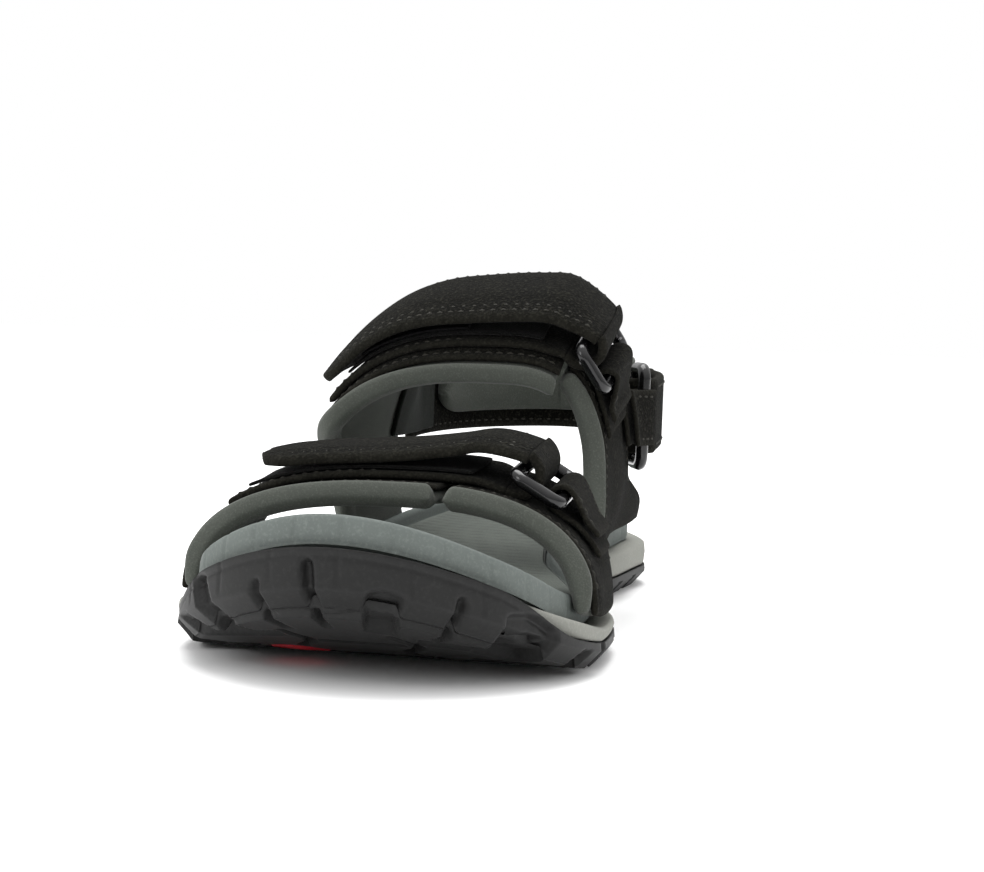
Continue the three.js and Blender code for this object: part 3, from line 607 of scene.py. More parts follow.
def outsole_wall():
    """Rings of the outline: a rounded foot, then a wall, with the relief pushed inwards."""
    a = outline_at[None, :]
    y = outline[None, :, 1]
    g, top = ground_z(y), wall_z(y)
    share = np.linspace(0, 1, WALL_STEPS)[:, None]
    inset = polyline([[4], [2.3], [1.2], [0.4], [0.0]], clamp(share / FOOT_SHARE))[..., 0]
    raised = polyline([[0], [0.7], [2.2], [3.4], [FOOT_HEIGHT]], clamp(share / FOOT_SHARE))[..., 0]
    upper = clamp((share - FOOT_SHARE) / (1 - FOOT_SHARE))
    z = g + raised + upper * (top - g - FOOT_HEIGHT)
    inset = inset + 0.2 * upper
    height = z - g
    pockets = toe_pockets(a, height)
    ring = inset_point(np.broadcast_to(a, z.shape), inset)
    grooves = side_grooves(ring[..., 0], ring[..., 1]) * smooth((FOOT_HEIGHT - height) / 1.2 + 0.5)
    seams = 0.3 * bell(np.mod(from_toe(a) + 5.5, 17.0) - 8.5, 0.9) * toeness(y) * smooth((height - 5) / 2)
    border = 0.35 * bell(top - z - 2.0, 0.9) * toeness(y)
    relief = POCKET_DEPTH * pockets + SIDE_GROOVE_DEPTH * grooves
    inset = inset + clamp(share / 0.12) * relief + seams + border
    z = z + TREAD_DEPTH * (0.8 * pockets * (1 - share) ** 4 + grooves * (1 - clamp(share / 0.3)))
    ring = inset_point(np.broadcast_to(a, z.shape), inset)
    ring[..., 2] = z
    return ring


def outsole_lip():
    """From the wall's top over a rounded lip and down to the rubber's floor."""
    y = outline[None, :, 1]
    top = wall_z(y)
    drop = top - floor_z(y)
    share = np.linspace(0, 1, LIP_STEPS + 1)[1:, None]
    inset = polyline([[0.2], [0.5], [1.2], [4.0], [4.5], [5.0]], share)[..., 0]
    fall = polyline([[0], [0.25], [0.35], [0.35], [0.35], [1.0]], share)[..., 0]
    ring = inset_point(np.broadcast_to(outline_at[None, :], (LIP_STEPS, OUTLINE_STEPS)), inset + 0 * y)
    ring[..., 2] = top - np.minimum(fall, 0.35) - np.maximum(fall - 0.35, 0) / 0.65 * (drop - 0.35)
    return ring


def across_sole(ring, columns):
    """A grid that fills a ring: each row joins the outer-side point to the inner-side one level with it."""
    half = len(ring) // 2
    outer, inner = ring[:half + 1], np.concatenate([ring[:1], ring[:half - 1:-1]])
    w = np.linspace(0, 1, columns)[None, :, None]
    return outer[:, None] * (1 - w) + inner[:, None] * w


def outsole_underside(ring):
    """The tread: the bottom ring filled across, then pushed up by the relief."""
    grid = across_sole(ring, UNDERSIDE_COLUMNS)
    x, y = grid[..., 0], grid[..., 1]
    nearest = np.concatenate([
        ((rows[..., None, :2] - ring[None, None, :, :2]) ** 2).sum(-1).argmin(-1) for rows in grid[:, None]])
    edge = ring[nearest]
    inward = np.linalg.norm(grid[..., :2] - edge[..., :2], axis=-1)
    hollow = toe_pockets(outline_at[nearest], 0.0) * smooth((9.5 - inward) / 3)
    relief = TREAD_DEPTH * np.maximum(np.maximum(0.8 * hollow, side_grooves(x, y)), centre_tread(x, y))
    from_insert = np.hypot(x - INSERT_XY[0], y - INSERT_XY[1])
    relief = relief * smooth((from_insert - insert_radius - 2) / 2)
    relief = np.maximum(relief, 1.95 * smooth((insert_radius + 0.6 - from_insert) / 0.5))
    inner = smooth(inward / 1.5)
    grid[..., 2] = mix(grid[..., 2], ground_z(y) + relief, inner)
    return grid


def outsole():
    wall = np.concatenate([outsole_wall(), outsole_lip()])
    under, floor = outsole_underside(wall[0]), across_sole(wall[-1], 8)
    parts, faces, used = [wall, under, floor], [], 0
    for part, wrap in zip(parts, (True, False, False)):
        order = grid_faces(*part.shape[:2], wrap=wrap) + used
        faces.append(order[:, ::-1] if part is under else order)
        used += part.shape[0] * part.shape[1]
    return np.concatenate([part.reshape(-1, 3) for part in parts]), np.concatenate(faces)


add_piece("Outsole", *outsole(), OUTSOLE_RUBBER, "outsole_rubber", stands_for=["outsole"])

# %% [markdown]
# ## The red insert, the midsole and the footbed
# A red plug sits in the tread under the ball. Above the rubber come a pale foam midsole, which
# shows as a thin line at the forefoot and a band at the heel, and a grey footbed whose lip stands
# up round the foot. Both foams are swept like the outsole: a ring profile of insets and heights
# with small roundings, closed by a filled ring on top and underneath.

# %% Rings stacked into a foam body
def close_rings(rings, bottom, top):
    """Seals a stack of rings with one grid underneath and one on top."""
    count = rings.shape[0] * rings.shape[1]
    faces = [grid_faces(*rings.shape[:2], wrap=True), grid_faces(*bottom.shape[:2])[:, ::-1] + count,
             grid_faces(*top.shape[:2]) + count + bottom.shape[0] * bottom.shape[1]]
    return np.concatenate([part.reshape(-1, 3) for part in (rings, bottom, top)]), np.concatenate(faces)


def ring_body(profile, steps=720, floor_columns=40, relief=None):
    """A closed body from (inset, height) pairs, each a function of y or a number, bottom ring first."""
    a = np.arange(steps) / steps
    y = edge_point(a)[:, 1]
    rings = []
    for k, (inset, z) in enumerate(profile):
        pulled = inset(y) if callable(inset) else inset + 0 * y
        if relief is not None:
            pulled = pulled + relief(a, k)
        ring = inset_point(a, pulled)
        ring[:, 2] = z(y)
        rings.append(ring)
    return close_rings(np.array(rings), across_sole(rings[0], floor_columns),
                       across_sole(rings[-1], floor_columns))


def red_insert():
    """A low dome with a ring groove, as a grid of rings round its middle, tilted with the tread.
    Its last two rings turn down behind it and close its back."""
    r = insert_radius * np.array([0.0, 0.2, 0.4, 0.52, 0.58, 0.64, 0.8, 0.93, 0.98, 1.0, 1.0, 0.0])[:, None]
    turn = np.linspace(0, 2 * np.pi, 49)[None, :-1]
    x, y = INSERT_XY[0] + r * np.cos(turn), INSERT_XY[1] + r * np.sin(turn)
    share = r / insert_radius
    sink = -0.25 * (1 - share ** 2) + 0.45 * bell(share - 0.58, 0.14) + 0.5 * smooth((share - 0.93) / 0.07)
    top = np.where(np.arange(len(r))[:, None] > 9, 1.5, sink)
    points = xyz(x, y, ground_z(y) + top)
    return points, grid_faces(*points.shape[:2], wrap=True)


add_piece("Red_insert", *red_insert(), RED_RUBBER, "red_rubber", stands_for=["red_outsole_insert"])


def midsole():
    """Foam from the rubber's floor to the rim, stepping out over the rubber's wall, edges rounded."""
    inner = 4.5 + 2 * GAP

    def outer(y):
        return mix(0.4, inner + 0.1, toeness(y - 8))

    def shelf(y):
        return np.minimum(wall_z(y) + GAP, rim_z(y) - 0.6)

    def between(share):
        return lambda y: mix(shelf(y), rim_z(y), share)

    return ring_body([
        (inner + 0.6, lambda y: floor_z(y) + GAP), (inner, shelf),
        (lambda y: outer(y) + 0.5, lambda y: shelf(y) + 0.02), (lambda y: outer(y) + 0.12, between(0.12)),
        (outer, between(0.3)), (lambda y: outer(y) - 0.15, between(0.5)), (outer, between(0.75)),
        (lambda y: outer(y) + 0.25, between(0.93)), (lambda y: outer(y) + 0.9, rim_z),
        (10.4, rim_z), (10.4, lambda y: rim_z(y) - 1.9)])


add_piece("Midsole", *midsole(), MIDSOLE_FOAM, "midsole_foam", stands_for=["midsole"])


# %% The footbed and its lip
LIP_WIDTH, FOOTBED_BASE, COVER_THICKNESS = 3.4, 4.3, 1.1


def lip_inset(y):
    return mix(6.2, 3.0, toeness(y - 4))


def lip_z(y):
    return rim_z(y) + GAP + mix(6.7, 12.0, smooth((y - 10) / 100))


def footbed_floor_z(y):
    return rim_z(y) + GAP + FOOTBED_BASE + 3 * smooth((y - 20) / 90)


def footbed():
    """The lip is a rounded bead; faint upright mould lines and one level line are pressed into it."""
    foot = [(0.35, 0.0), (0.0, 0.12), (-0.05, 0.45), (0.0, 0.75), (0.35, 0.9), (0.9, 0.985), (1.7, 1.0),
            (2.5, 0.985), (3.0, 0.92)]
    profile = [(lambda y, d=d: lip_inset(y) + d,
                lambda y, s=s: mix(rim_z(y) + GAP, lip_z(y), s)) for d, s in foot]
    profile += [(lambda y, d=d: lip_inset(y) + d,
                 lambda y, s=s: mix(lip_z(y), footbed_floor_z(y), s)) for d, s in
                ((3.25, 0.35), (3.4, 0.7), (3.8, 0.93), (4.6, 1.0))]

    def mould_lines(a, ring):
        upright = 0.4 * bell(np.mod(from_toe(a) + 3, 12.5) - 6.25, 1.3)
        return upright * (1 <= ring <= 6) + 0.12 * (ring == 3)

    return ring_body(profile, steps=900, relief=mould_lines)


add_piece("Footbed", *footbed(), FOOTBED_FOAM, "footbed_foam", stands_for=["footbed"])

# %% [markdown]
# ## The embossed footbed cover
# The cloth on the footbed is pressed with a pattern that gives the sole of the foot some grip: a
# leaf lies on the inner side of the ball, with ribs that fan out from its stalk to the toes, and
# fine cross lines over the rest. It is a grid over the whole footbed whose height drops by the
# pattern's depth. The pattern is the maker's own, built from distances and angles.

# %% The cover
STALK = np.array([16.0, -6.0])
LEAF_TURN, LEAF_LENGTH, LEAF_HALF = np.radians(-74), 62.0, 13.0
PRESSED = 0.7
COVER_INSET, COVER_STEPS, COVER_COLUMNS = 1.2, 720, 150


def pressed_pattern(x, y):
    """Depth in mm: ribs at even angles round the stalk, the leaf's outline and veins, and cross lines."""
    dx, dy = x - STALK[0], y - STALK[1]
    along = dx * np.cos(LEAF_TURN) + dy * np.sin(LEAF_TURN)
    aside = -dx * np.sin(LEAF_TURN) + dy * np.cos(LEAF_TURN)
    half = LEAF_HALF * hump(along / LEAF_LENGTH) ** 0.8
    inside = smooth((half - np.abs(aside)) / 1.0 + 0.5) * (along > 0) * (along < LEAF_LENGTH)
    outline_line = bell(np.abs(aside) - half, 1.3) * smooth(along / 4) * smooth((LEAF_LENGTH - along) / 4)
    vein_run = np.mod(along - 0.9 * np.abs(aside), 6.5) - 3.25
    veins = np.maximum(bell(aside, 1.1), 0.8 * bell(vein_run, 1.0)) * inside
    angle, radius = np.degrees(np.arctan2(dy, dx)), np.hypot(dx, dy)
    bend = angle + 0.22 * radius
    fan = bell((np.mod(bend, 9.0) - 4.5) * np.radians(1) * radius, 1.1)
    fan = fan * smooth((radius - 14) / 6) * smooth((78 - radius) / 10) * (1 - inside)
    fan = fan * smooth((-10 - y) / 12)
    cross = 0.5 * bell(np.mod(y + 0.15 * x, 5.0) - 2.5, 1.0) * smooth((y - 6) / 10) * smooth((150 - y) / 16)
    return PRESSED * np.maximum(np.maximum(outline_line, veins), np.maximum(0.8 * fan, cross))


def footbed_cover():
    """A thin cloth body: its rounded rim is swept, and its top is a fine grid pressed by the pattern.
    The pressed lines get painted shade, darker than the rest, so their depth is kept for the finish as well."""
    a = np.arange(COVER_STEPS) / COVER_STEPS
    y = edge_point(a)[:, 1]
    rings = []
    for pulled, up in ((0.0, 0.0), (-0.15, 0.35), (0.0, 0.75), (0.5, 1.0)):
        ring = inset_point(a, lip_inset(y) + LIP_WIDTH + COVER_INSET + pulled)
        ring[:, 2] = footbed_floor_z(y) + GAP + up * COVER_THICKNESS
        rings.append(ring)
    top, bottom = across_sole(rings[-1], COVER_COLUMNS), across_sole(rings[0], 12)
    w = np.linspace(0, 1, COVER_COLUMNS)[None, :]
    dish = 1.2 * (np.abs(2 * w - 1) ** 4) * smooth((top[..., 1] - 60) / 60)
    rows = np.arange(len(top))[:, None]
    inner = smooth(np.minimum(w, 1 - w) * 12) * smooth(np.minimum(rows, len(top) - 1 - rows) / 12)
    pressed = pressed_pattern(top[..., 0], top[..., 1]) * inner
    top[..., 2] += dish * inner - pressed
    points, faces = close_rings(np.array(rings), bottom, top)
    # Painted shade: only the top's pressed lines are darkened; the rim and the underside get none.
    unshaded = np.zeros(len(points) - pressed.size)
    return points, faces, np.concatenate([unshaded, pressed.reshape(-1) / PRESSED])


# The pressed depth goes to the finish as painted shade in the pressed lines.
cover_points, cover_faces, cover_pressed_shade = footbed_cover()
cover = add_piece("Footbed_cover", cover_points, cover_faces, FOOTBED_CLOTH, "footbed_cloth",
                  stands_for=["footbed_cover"], rim=cover_pressed_shade)
cover_edge = inset_point(outline_at, lip_inset(outline[:, 1]) + LIP_WIDTH + COVER_INSET)

# %% Board and shank
for node, material, slot in (("insole_board", BOARD, "lasting_board"), ("arch_shank", NYLON, "shank_nylon")):
    part = frame["nodes"][node]
    part.data.materials.clear()
    part.data.materials.append(material)
print("board and shank keep their CAD shape: both are hidden inside the sole")

# %% [markdown]
# ## The last: the form that the upper is shaped on
# A shoemaker pulls the upper over a last. Here the last is a formula: across the foot, u runs
# from 0 at the outer sole edge, over the crest at one half, to 1 at the inner edge. Each cross
# line is a superellipse, rounder on the outer side and squarer on the inner one, and it stands
# out over the narrow waist. Layers of leather and padding are offsets from it.

# %% The last
BALL_RISE, INSTEP_RISE, ANKLE_RISE = 33, 64, 79
rise = through([[-80, 22.5], [-45, 30], [-20, BALL_RISE], [0, mix(BALL_RISE, INSTEP_RISE, 0.2)],
                [35, INSTEP_RISE], [62, mix(INSTEP_RISE, ANKLE_RISE, 0.6)], [85, ANKLE_RISE]])
crest_x = through([[-60, 5], [-20, 8], [40, 10], [120, 4]])
UPPER_INSET, ARCH_OVERHANG = 2.4, 12.0


def on_form(u, y):
    """A superellipse across the foot at y, from the outer edge (u = 0) to the inner (u = 1)."""
    side = np.where(u < 0.5, LATERAL, MEDIAL)
    medial = side > 0
    power = 2 / np.where(medial, mix(2.5, 3.3, smooth((y + 20) / 60)), 2.7)
    flat, up = np.abs(np.cos(np.pi * u)) ** power, np.abs(np.sin(np.pi * u)) ** power
    foot = edge_x(side, along_sole(y)) - side * UPPER_INSET
    stand_out = np.where(medial, ARCH_OVERHANG * smooth((y - 5) / 60) * (1 - 0.55 * smooth((y - 75) / 60)),
                         1.5 * smooth((y + 20) / 80))
    bulge = foot + side * stand_out
    tuck = (foot - bulge) * clamp(1 - up / 0.4) ** 2
    return xyz(mix(crest_x(y), bulge, flat) + tuck, y, rim_z(y) + GAP + rise(y) * up)


def form_normal(u, y):
    low, high = np.maximum(0.001, u - 0.01), np.minimum(0.999, u + 0.01)
    across = on_form(high, y) - on_form(low, y)
    ahead = on_form(u, y + 1) - on_form(u, y - 1)
    return unit(np.cross(across, ahead))


def off_form(u, y, distance):
    u, y, distance = np.broadcast_arrays(u, y, distance)
    return on_form(u, y) + form_normal(u, y) * distance[..., None]


# %% [markdown]
# ## Stitches
# Rows of stitches hold the turned edges. Drawn in a texture they vanish at an angle, so each
# stitch is a small spindle of thread lying on the leather, its ends pulled in. One row is a path
# cut at even steps, and all the stitches of a piece are one mesh made by adding arrays.

# %% Thread
STITCH_PITCH, STITCH_LENGTH, THREAD_RADIUS = 3.0, 2.2, 0.34


def stitch_row(path, normals, pitch=STITCH_PITCH):
    """Spindles along a path: five rings of six points, thick in the middle, dipping at both ends."""
    run = np.concatenate([[0], np.cumsum(np.linalg.norm(np.diff(path, axis=0), axis=1))])
    places = np.arange(pitch / 2, run[-1] - pitch / 3, pitch)
    sample = [np.stack([np.interp(places + d, run, v[:, k]) for k in range(3)], -1)
              for v, d in ((path, 0), (path, 0.4), (path, -0.4), (normals, 0))]
    along, normal = unit(sample[1] - sample[2]), unit(sample[3])
    side = np.cross(along, normal)
    x = np.array([-1, -0.7, 0, 0.7, 1])[None, :, None, None]
    thick = THREAD_RADIUS * np.array([0.02, 0.75, 1, 0.75, 0.02])[None, :, None, None]
    angle = np.linspace(0, 2 * np.pi, 7)[None, None, :-1, None]
    centre, along, normal, side = (v[:, None, None, :] for v in (sample[0], along, normal, side))
    return (centre + along * x * STITCH_LENGTH / 2 - normal * (0.45 * x ** 2 - 0.05)
            + thick * (normal * np.cos(angle) + side * np.sin(angle)))


def add_stitches(name, rows, body="root"):
    spindles = np.concatenate([stitch_row(path, normals) for path, normals in rows])
    base = grid_faces(5, 6, wrap=True)
    faces = (base[None] + 30 * np.arange(len(spindles))[:, None, None]).reshape(-1, 4)
    return add_piece(name, spindles, faces, THREAD, "nubuck", body=body)


def beside_edge(points, normals, distance, from_last=False, height=0.0):
    """The line that keeps a distance in mm from the first or last column of a grid."""
    first, last = edge_distances(points, 1)
    run = last[:, ::-1] if from_last else first
    p, n = (points[:, ::-1], normals[:, ::-1]) if from_last else (points, normals)
    i = np.clip((run < distance).sum(1) - 1, 0, run.shape[1] - 2)
    row = np.arange(len(run))
    share = ((distance - run[row, i]) / (run[row, i + 1] - run[row, i]))[:, None]
    line = p[row, i] * (1 - share) + p[row, i + 1] * share
    normal = unit(n[row, i])
    return line + normal * height, normal


# %% [markdown]
# ## Quarters and their padded linings
# The upper is four quarters of nubuck, outer and inner, at the forefoot and the instep. Each is
# cut flat, its edge is turned and stitched, and under it lies a padded knit lining that is drawn
# out past the front edge as a soft roll. The padding could be puffed by a cloth simulation, but
# a voxel mesh would lose the thin roll, so its crown is a formula: a round bead along the front,
# a sewn channel behind it, and a low cushion over the rest.

# %% The cut of each quarter
SKIN = GAP / 2 + 1.6
LINING, ROLL, CHANNEL = 2.8, 4.9, 7.5
SEAM_INSET, ABOVE_SOLE = 2.7, 0.16
QUARTERS = {
    "lateral_forefoot": (0.012, 0.53, lambda u: -48 + 5 * hump(u), lambda u: mix(4, -8, hump(u))),
    "medial_forefoot": (0.548, 0.988, lambda u: -48 + 5 * hump(u), lambda u: mix(2, -8, hump(u))),
    "lateral_instep": (0.012, 0.635, lambda u: mix(62, 30, smooth(hump(u) / 0.75)),
                       lambda u: mix(104, 68, hump(u))),
    "medial_instep": (0.655, 0.988, lambda u: mix(20, 36, smooth(hump(u) / 0.5)),
                      lambda u: mix(mix(118, 77, smooth((hump(u) - 0.04) / 0.16)), 70,
                                    smooth((hump(u) - 0.4) / 0.5))),
}


def on_form_grid(start, end, front, back, rows=96, columns=44, length=110.0, width=55.0, radius=2.0):
    """A grid on the last between two cross lines and two edges, with close lines where edges turn."""
    u = mix(start, end, rim_steps(rows, length, radius))[:, None]
    v = rim_steps(columns, width, radius)[None, :]
    y = mix(front(u), back(u), v)
    u = u + 0 * y
    return on_form(u, y), form_normal(u, y), u, y


def quarter(name):
    start, end, front, back = QUARTERS[name]
    points, normals, u, _ = on_form_grid(start, end, front, back, radius=0.9)
    first, last = edge_distances(points, 1)
    near = np.minimum(first, last)
    groove = 0.3 * bell(near - SEAM_INSET, 1.3) - 0.16 * bell(near - 1.2, 1.8)
    top, faces, rim = shell(points, normals, SKIN - groove, GAP / 2, 0.9)
    add_piece(f"Quarter_{name}", top, faces, NUBUCK, "nubuck", stands_for=[f"{name}_quarter"], rim=rim)
    kept = hump(u[:, 0]) > ABOVE_SOLE
    add_stitches(f"Quarter_{name}_stitches", [
        beside_edge(points[kept], normals[kept], SEAM_INSET, from_last, SKIN - 0.1)
        for from_last in (False, True)])


def lining(name):
    start, end, front, back = QUARTERS[name]
    points, normals, u, _ = on_form_grid(start, end, lambda u: front(u) - ROLL, back, rows=110, columns=60)
    first, last = edge_distances(points, 1)
    whole = first + last
    above_sole = smooth(hump(u) / 0.3)
    roll = 2.3 * hump(first / (ROLL - 0.15)) ** 0.75
    crown = 1.3 * hump(first / CHANNEL) ** 0.8 + hump((first - CHANNEL) / (whole - CHANNEL)) ** 0.6
    body, faces, rim = shell(points, normals, -GAP / 2 + roll * (0.35 + 0.65 * above_sole),
                             -GAP / 2 - LINING - crown * above_sole, 2.2)
    piece = add_piece(f"Lining_{name}", body, faces, PADDING, "padded_lining",
                      stands_for=[f"{name}_lining"], rim=0.6 * rim)


for name in QUARTERS:
    quarter(name)
    lining(name)

# %% [markdown]
# ## Straps that pass through rings
# A strap starts on the outer side, runs under the ring's free bar, folds round it and lies back
# on itself, held by hook tape. Its middle line is one smooth curve through points on the last
# and round the bar. The strap is cut into three pieces, the lower run, the fold round the bar and
# the flap, where a sewn bar tack or the ring hides the cut. The flap rides on its own body; the
# lower run and the fold are fixed in place.

# %% Ring places from the joints, and curves through points
STRAP, FLAP, TAPE, TAB, ROD, FOLD_RADIUS = 2.0, 2.6, 0.9, 1.4, 1.8, 4.2
BASE_MIDDLE = SKIN + GAP + STRAP / 2
LOOP_LOW = SKIN + 2 * GAP + STRAP
HOOK_LOW = LOOP_LOW + TAPE + GAP
FLAP_MIDDLE = HOOK_LOW + TAPE + GAP + FLAP / 2
TAB_MIDDLE = SKIN + GAP + TAB / 2
TAB_TURN = ROD + 2 * GAP + TAB / 2
BEND = FOLD_RADIUS + FLAP / 2
joint_at = {j["name"]: (1000 * np.array(j["pos_m"]) + CENTRE, np.array(j["axis"])) for j in frame["joints"]}


def hardware(name):
    """The two bars of a ring, and its directions: along the bars, from hinge to free bar, and out."""
    hinge, along = joint_at[f"{name}_ring_swivel"]
    free = joint_at[f"{name}_flap_peel"][0]
    reach = unit(free - hinge)
    return {"hinge": hinge, "free": free, "along": along, "reach": reach, "out": np.cross(along, reach)}


def round_bar(bar, parts, across, radius, degrees):
    """Points round a bar: 0 degrees is towards reach, 90 is outwards; `across` in mm along the bar."""
    angle = np.radians(degrees)[:, None, None]
    return (parts[bar] + parts["along"] * across[None, :, None]
            + radius * (parts["reach"] * np.cos(angle) + parts["out"] * np.sin(angle)))


def curve_through(points, at):
    """A centripetal curve through the rows of `points`; `at` counts rows, 0 to the last."""
    ends = np.concatenate([[2 * points[0] - points[1]], points, [2 * points[-1] - points[-2]]])
    i = np.clip(np.floor(at).astype(int), 0, len(points) - 2)
    s = (at - i).reshape(-1, *[1] * (points.ndim - 1))
    p = [ends[i + k] for k in range(4)]
    d = [np.sqrt(np.linalg.norm(p[k + 1] - p[k], axis=-1, keepdims=True)) + 1e-9 for k in range(3)]
    t1 = ((p[1] - p[0]) / d[0] - (p[2] - p[0]) / (d[0] + d[1]) + (p[2] - p[1]) / d[1]) * d[1]
    t2 = ((p[2] - p[1]) / d[1] - (p[3] - p[1]) / (d[1] + d[2]) + (p[3] - p[2]) / d[2]) * d[1]
    return (p[1] + s * t1 + s ** 2 * (-3 * p[1] + 3 * p[2] - 2 * t1 - t2)
            + s ** 3 * (2 * p[1] - 2 * p[2] + t1 + t2))


ACROSS = np.linspace(-0.5, 0.5, 31)


def spread(rows, w):
    """Reads a band known at the even places ACROSS at other places w, row by row."""
    place = clamp(w + 0.5) * (len(ACROSS) - 1)
    i = np.clip(place.astype(int), 0, len(ACROSS) - 2)
    share = (place - i)[..., None]
    row = np.arange(len(rows))[:, None]
    return rows[row, i] * (1 - share) + rows[row, i + 1] * share


# %% A band along a curve
def to_frame(point):
    """From millimetres on the last to metres in the frame."""
    return tuple(float(v) for v in (point - CENTRE) / 1000)


def band(name, rows, material, slot, high, low, body="root", stands_for=(), cut=(False, False),
         round_end=0.0, stitched=(), tacks=(), radius=None, relief=None, columns=26, curl=0.0):
    """A strap piece from curve rows: soft long edges, an optional rounded tip, and rows of stitches."""
    middle = rows[:, len(ACROSS) // 2]
    width = np.linalg.norm(rows[:, -1] - rows[:, 0], axis=-1).mean()
    run = np.concatenate([[0], np.cumsum(np.linalg.norm(np.diff(middle, axis=0), axis=1))])
    tip = 1 - clamp((run[-1] - run) / round_end) if round_end else 0 * run
    narrow = 1 - (round_end / (width / 2)) * (1 - np.sqrt(1 - np.minimum(tip, 0.985) ** 2))
    radius = radius or (high - low) / 2
    w = (rim_steps(columns, width, radius)[None, :] - 0.5) * narrow[:, None]
    points = spread(rows, w)
    normals = -surface_normals(points)
    points = points - normals * (curl * np.abs(2 * w) ** 4)[..., None]
    thin_high = high + (relief(run, w * width) if relief else 0)
    body_points, faces, rim = shell(points, normals, thin_high, low, radius, cut=cut)
    piece = add_piece(name, body_points, faces, material, slot, body=body, stands_for=stands_for, rim=rim)
    if stitched:
        lines = []
        for inset, start, end in stitched:
            kept = (run > start) & (run < run[-1] - end)
            for side in (False, True):
                for face, height in ((1, high), (-1, -low)):
                    lines.append(beside_edge(points[kept], face * normals[kept], inset, side, height - 0.05))
        for away in tacks:
            row = np.searchsorted(run, away)
            lines.append((points[row, 4:-4] + (high - 0.05) * normals[row, 4:-4], normals[row, 4:-4]))
        add_stitches(f"{name}_stitches", lines, body=body)
    return piece


def rows_between(points, start, end, count, turn_start=0.0, turn_end=0.0):
    """Curve rows from one control row to another, evenly, with close rows at an end that is rounded."""
    steps = np.linspace(0, 1, count)
    close = np.array([0, 0.012, 0.05, 0.15, 0.35, 0.6])
    if turn_end:
        steps = np.concatenate([steps[:-1], 1 - (1 - steps[-2]) * close[::-1]])
    if turn_start:
        steps = np.concatenate([steps[1] * close, steps[1:]])
    return curve_through(points, mix(start, end, steps))


# %% Fold angles, and the bodies beside a strap's lower run and fold
RUN_IN = 24
FOLD_DEGREES = [270, 240, 210, 180, 150, 130, 110, 92]
TAB_DEGREES = [-90, -45, 0, 45, 90]


def strap_bodies(name, parts):
    """Two bodies and two points beside the lower run and beside the fold of a strap; add_piece does not use
    them and fixes these pieces in place.
    """
    ring, flap, free = f"{name}_ring_body", f"{name}_flap_body", parts["free"]
    lower = ("root", ring, to_frame(free + RUN_IN * parts["reach"]), to_frame(free))
    round_it = FOLD_RADIUS * parts["out"]
    fold = (ring, flap, to_frame(free - round_it), to_frame(free + round_it))
    return lower, fold


# %% The forefoot and instep closures
CLOSURES = {
    "forefoot": dict(y=-24.0, width=26.0, hinge_u=0.725, base_from=0.22, free_end=0.31, free_lift=1.5,
                     tail=0.87, arch=0.0, longer=0.012),
    "instep": dict(y=49.0, width=31.0, hinge_u=0.74, base_from=0.23, free_end=0.27, free_lift=0.5,
                   tail=0.845, arch=3.4, longer=0.035),
}
BEND_TOP = BASE_MIDDLE + STRAP / 2 + 2 * FOLD_RADIUS + FLAP / 2
LOWER_ROWS, UPPER_ROWS = 12, 8
BEND_RUN, FREE_END_RUN = 0.17, 0.13
FLAP_SEAMS = (2.7, 5.0)


def closure_strap(name, parts, y, width, base_from, free_u, free_end, longer, arch, end_lift):
    """The strap in three pieces: the lower run, the fold round the ring and the padded flap."""
    ys = (y + ACROSS * width)[None, :]
    lower_u = np.linspace(base_from, free_u - 0.04, LOWER_ROWS)[:, None]
    upper_u = np.linspace(free_u - 0.05, free_end - longer, UPPER_ROWS)[:, None]
    lifted = (FLAP_MIDDLE + end_lift(upper_u)
              + (BEND_TOP - FLAP_MIDDLE) * smooth((upper_u - free_u + BEND_RUN) / BEND_RUN)
              + arch * hump((free_u - upper_u) / (free_u - free_end)))
    controls = np.concatenate([
        off_form(lower_u, ys, BASE_MIDDLE),
        round_bar("free", parts, ACROSS * width, BEND, FOLD_DEGREES),
        off_form(upper_u, ys, lifted)])
    under, over, last = LOWER_ROWS, LOWER_ROWS + len(FOLD_DEGREES) - 1, len(controls) - 1
    lower_body, fold_body = strap_bodies(name, parts)
    band(f"Strap_{name}_lower", rows_between(controls, 0, under, 90, turn_start=1), NUBUCK, "nubuck",
         STRAP / 2, -STRAP / 2, body=lower_body, stands_for=[f"{name}_strap"], cut=(False, True),
         stitched=((1.6, 2, 30),), tacks=(2.5, 4.5))
    band(f"Strap_{name}_fold", rows_between(controls, under, over, 60), NUBUCK, "nubuck",
         FLAP / 2, -FLAP / 2, body=fold_body, cut=(True, True))

    def puff(run, across):
        edge = width / 2 - np.abs(across)
        groove = sum(bell(edge - seam, 1.2) for seam in FLAP_SEAMS)
        return 0.75 * (1 - (2 * across / width) ** 2) * smooth(run / 10)[:, None] - 0.22 * groove

    band(f"Strap_{name}_flap", rows_between(controls, over, last, 110, turn_end=1), NUBUCK, "nubuck",
         FLAP / 2, -FLAP / 2, body=f"{name}_flap_body", stands_for=[f"{name}_flap"], cut=(True, False),
         round_end=9.0, stitched=[(seam, 3, 7) for seam in FLAP_SEAMS], relief=puff, curl=1.5)


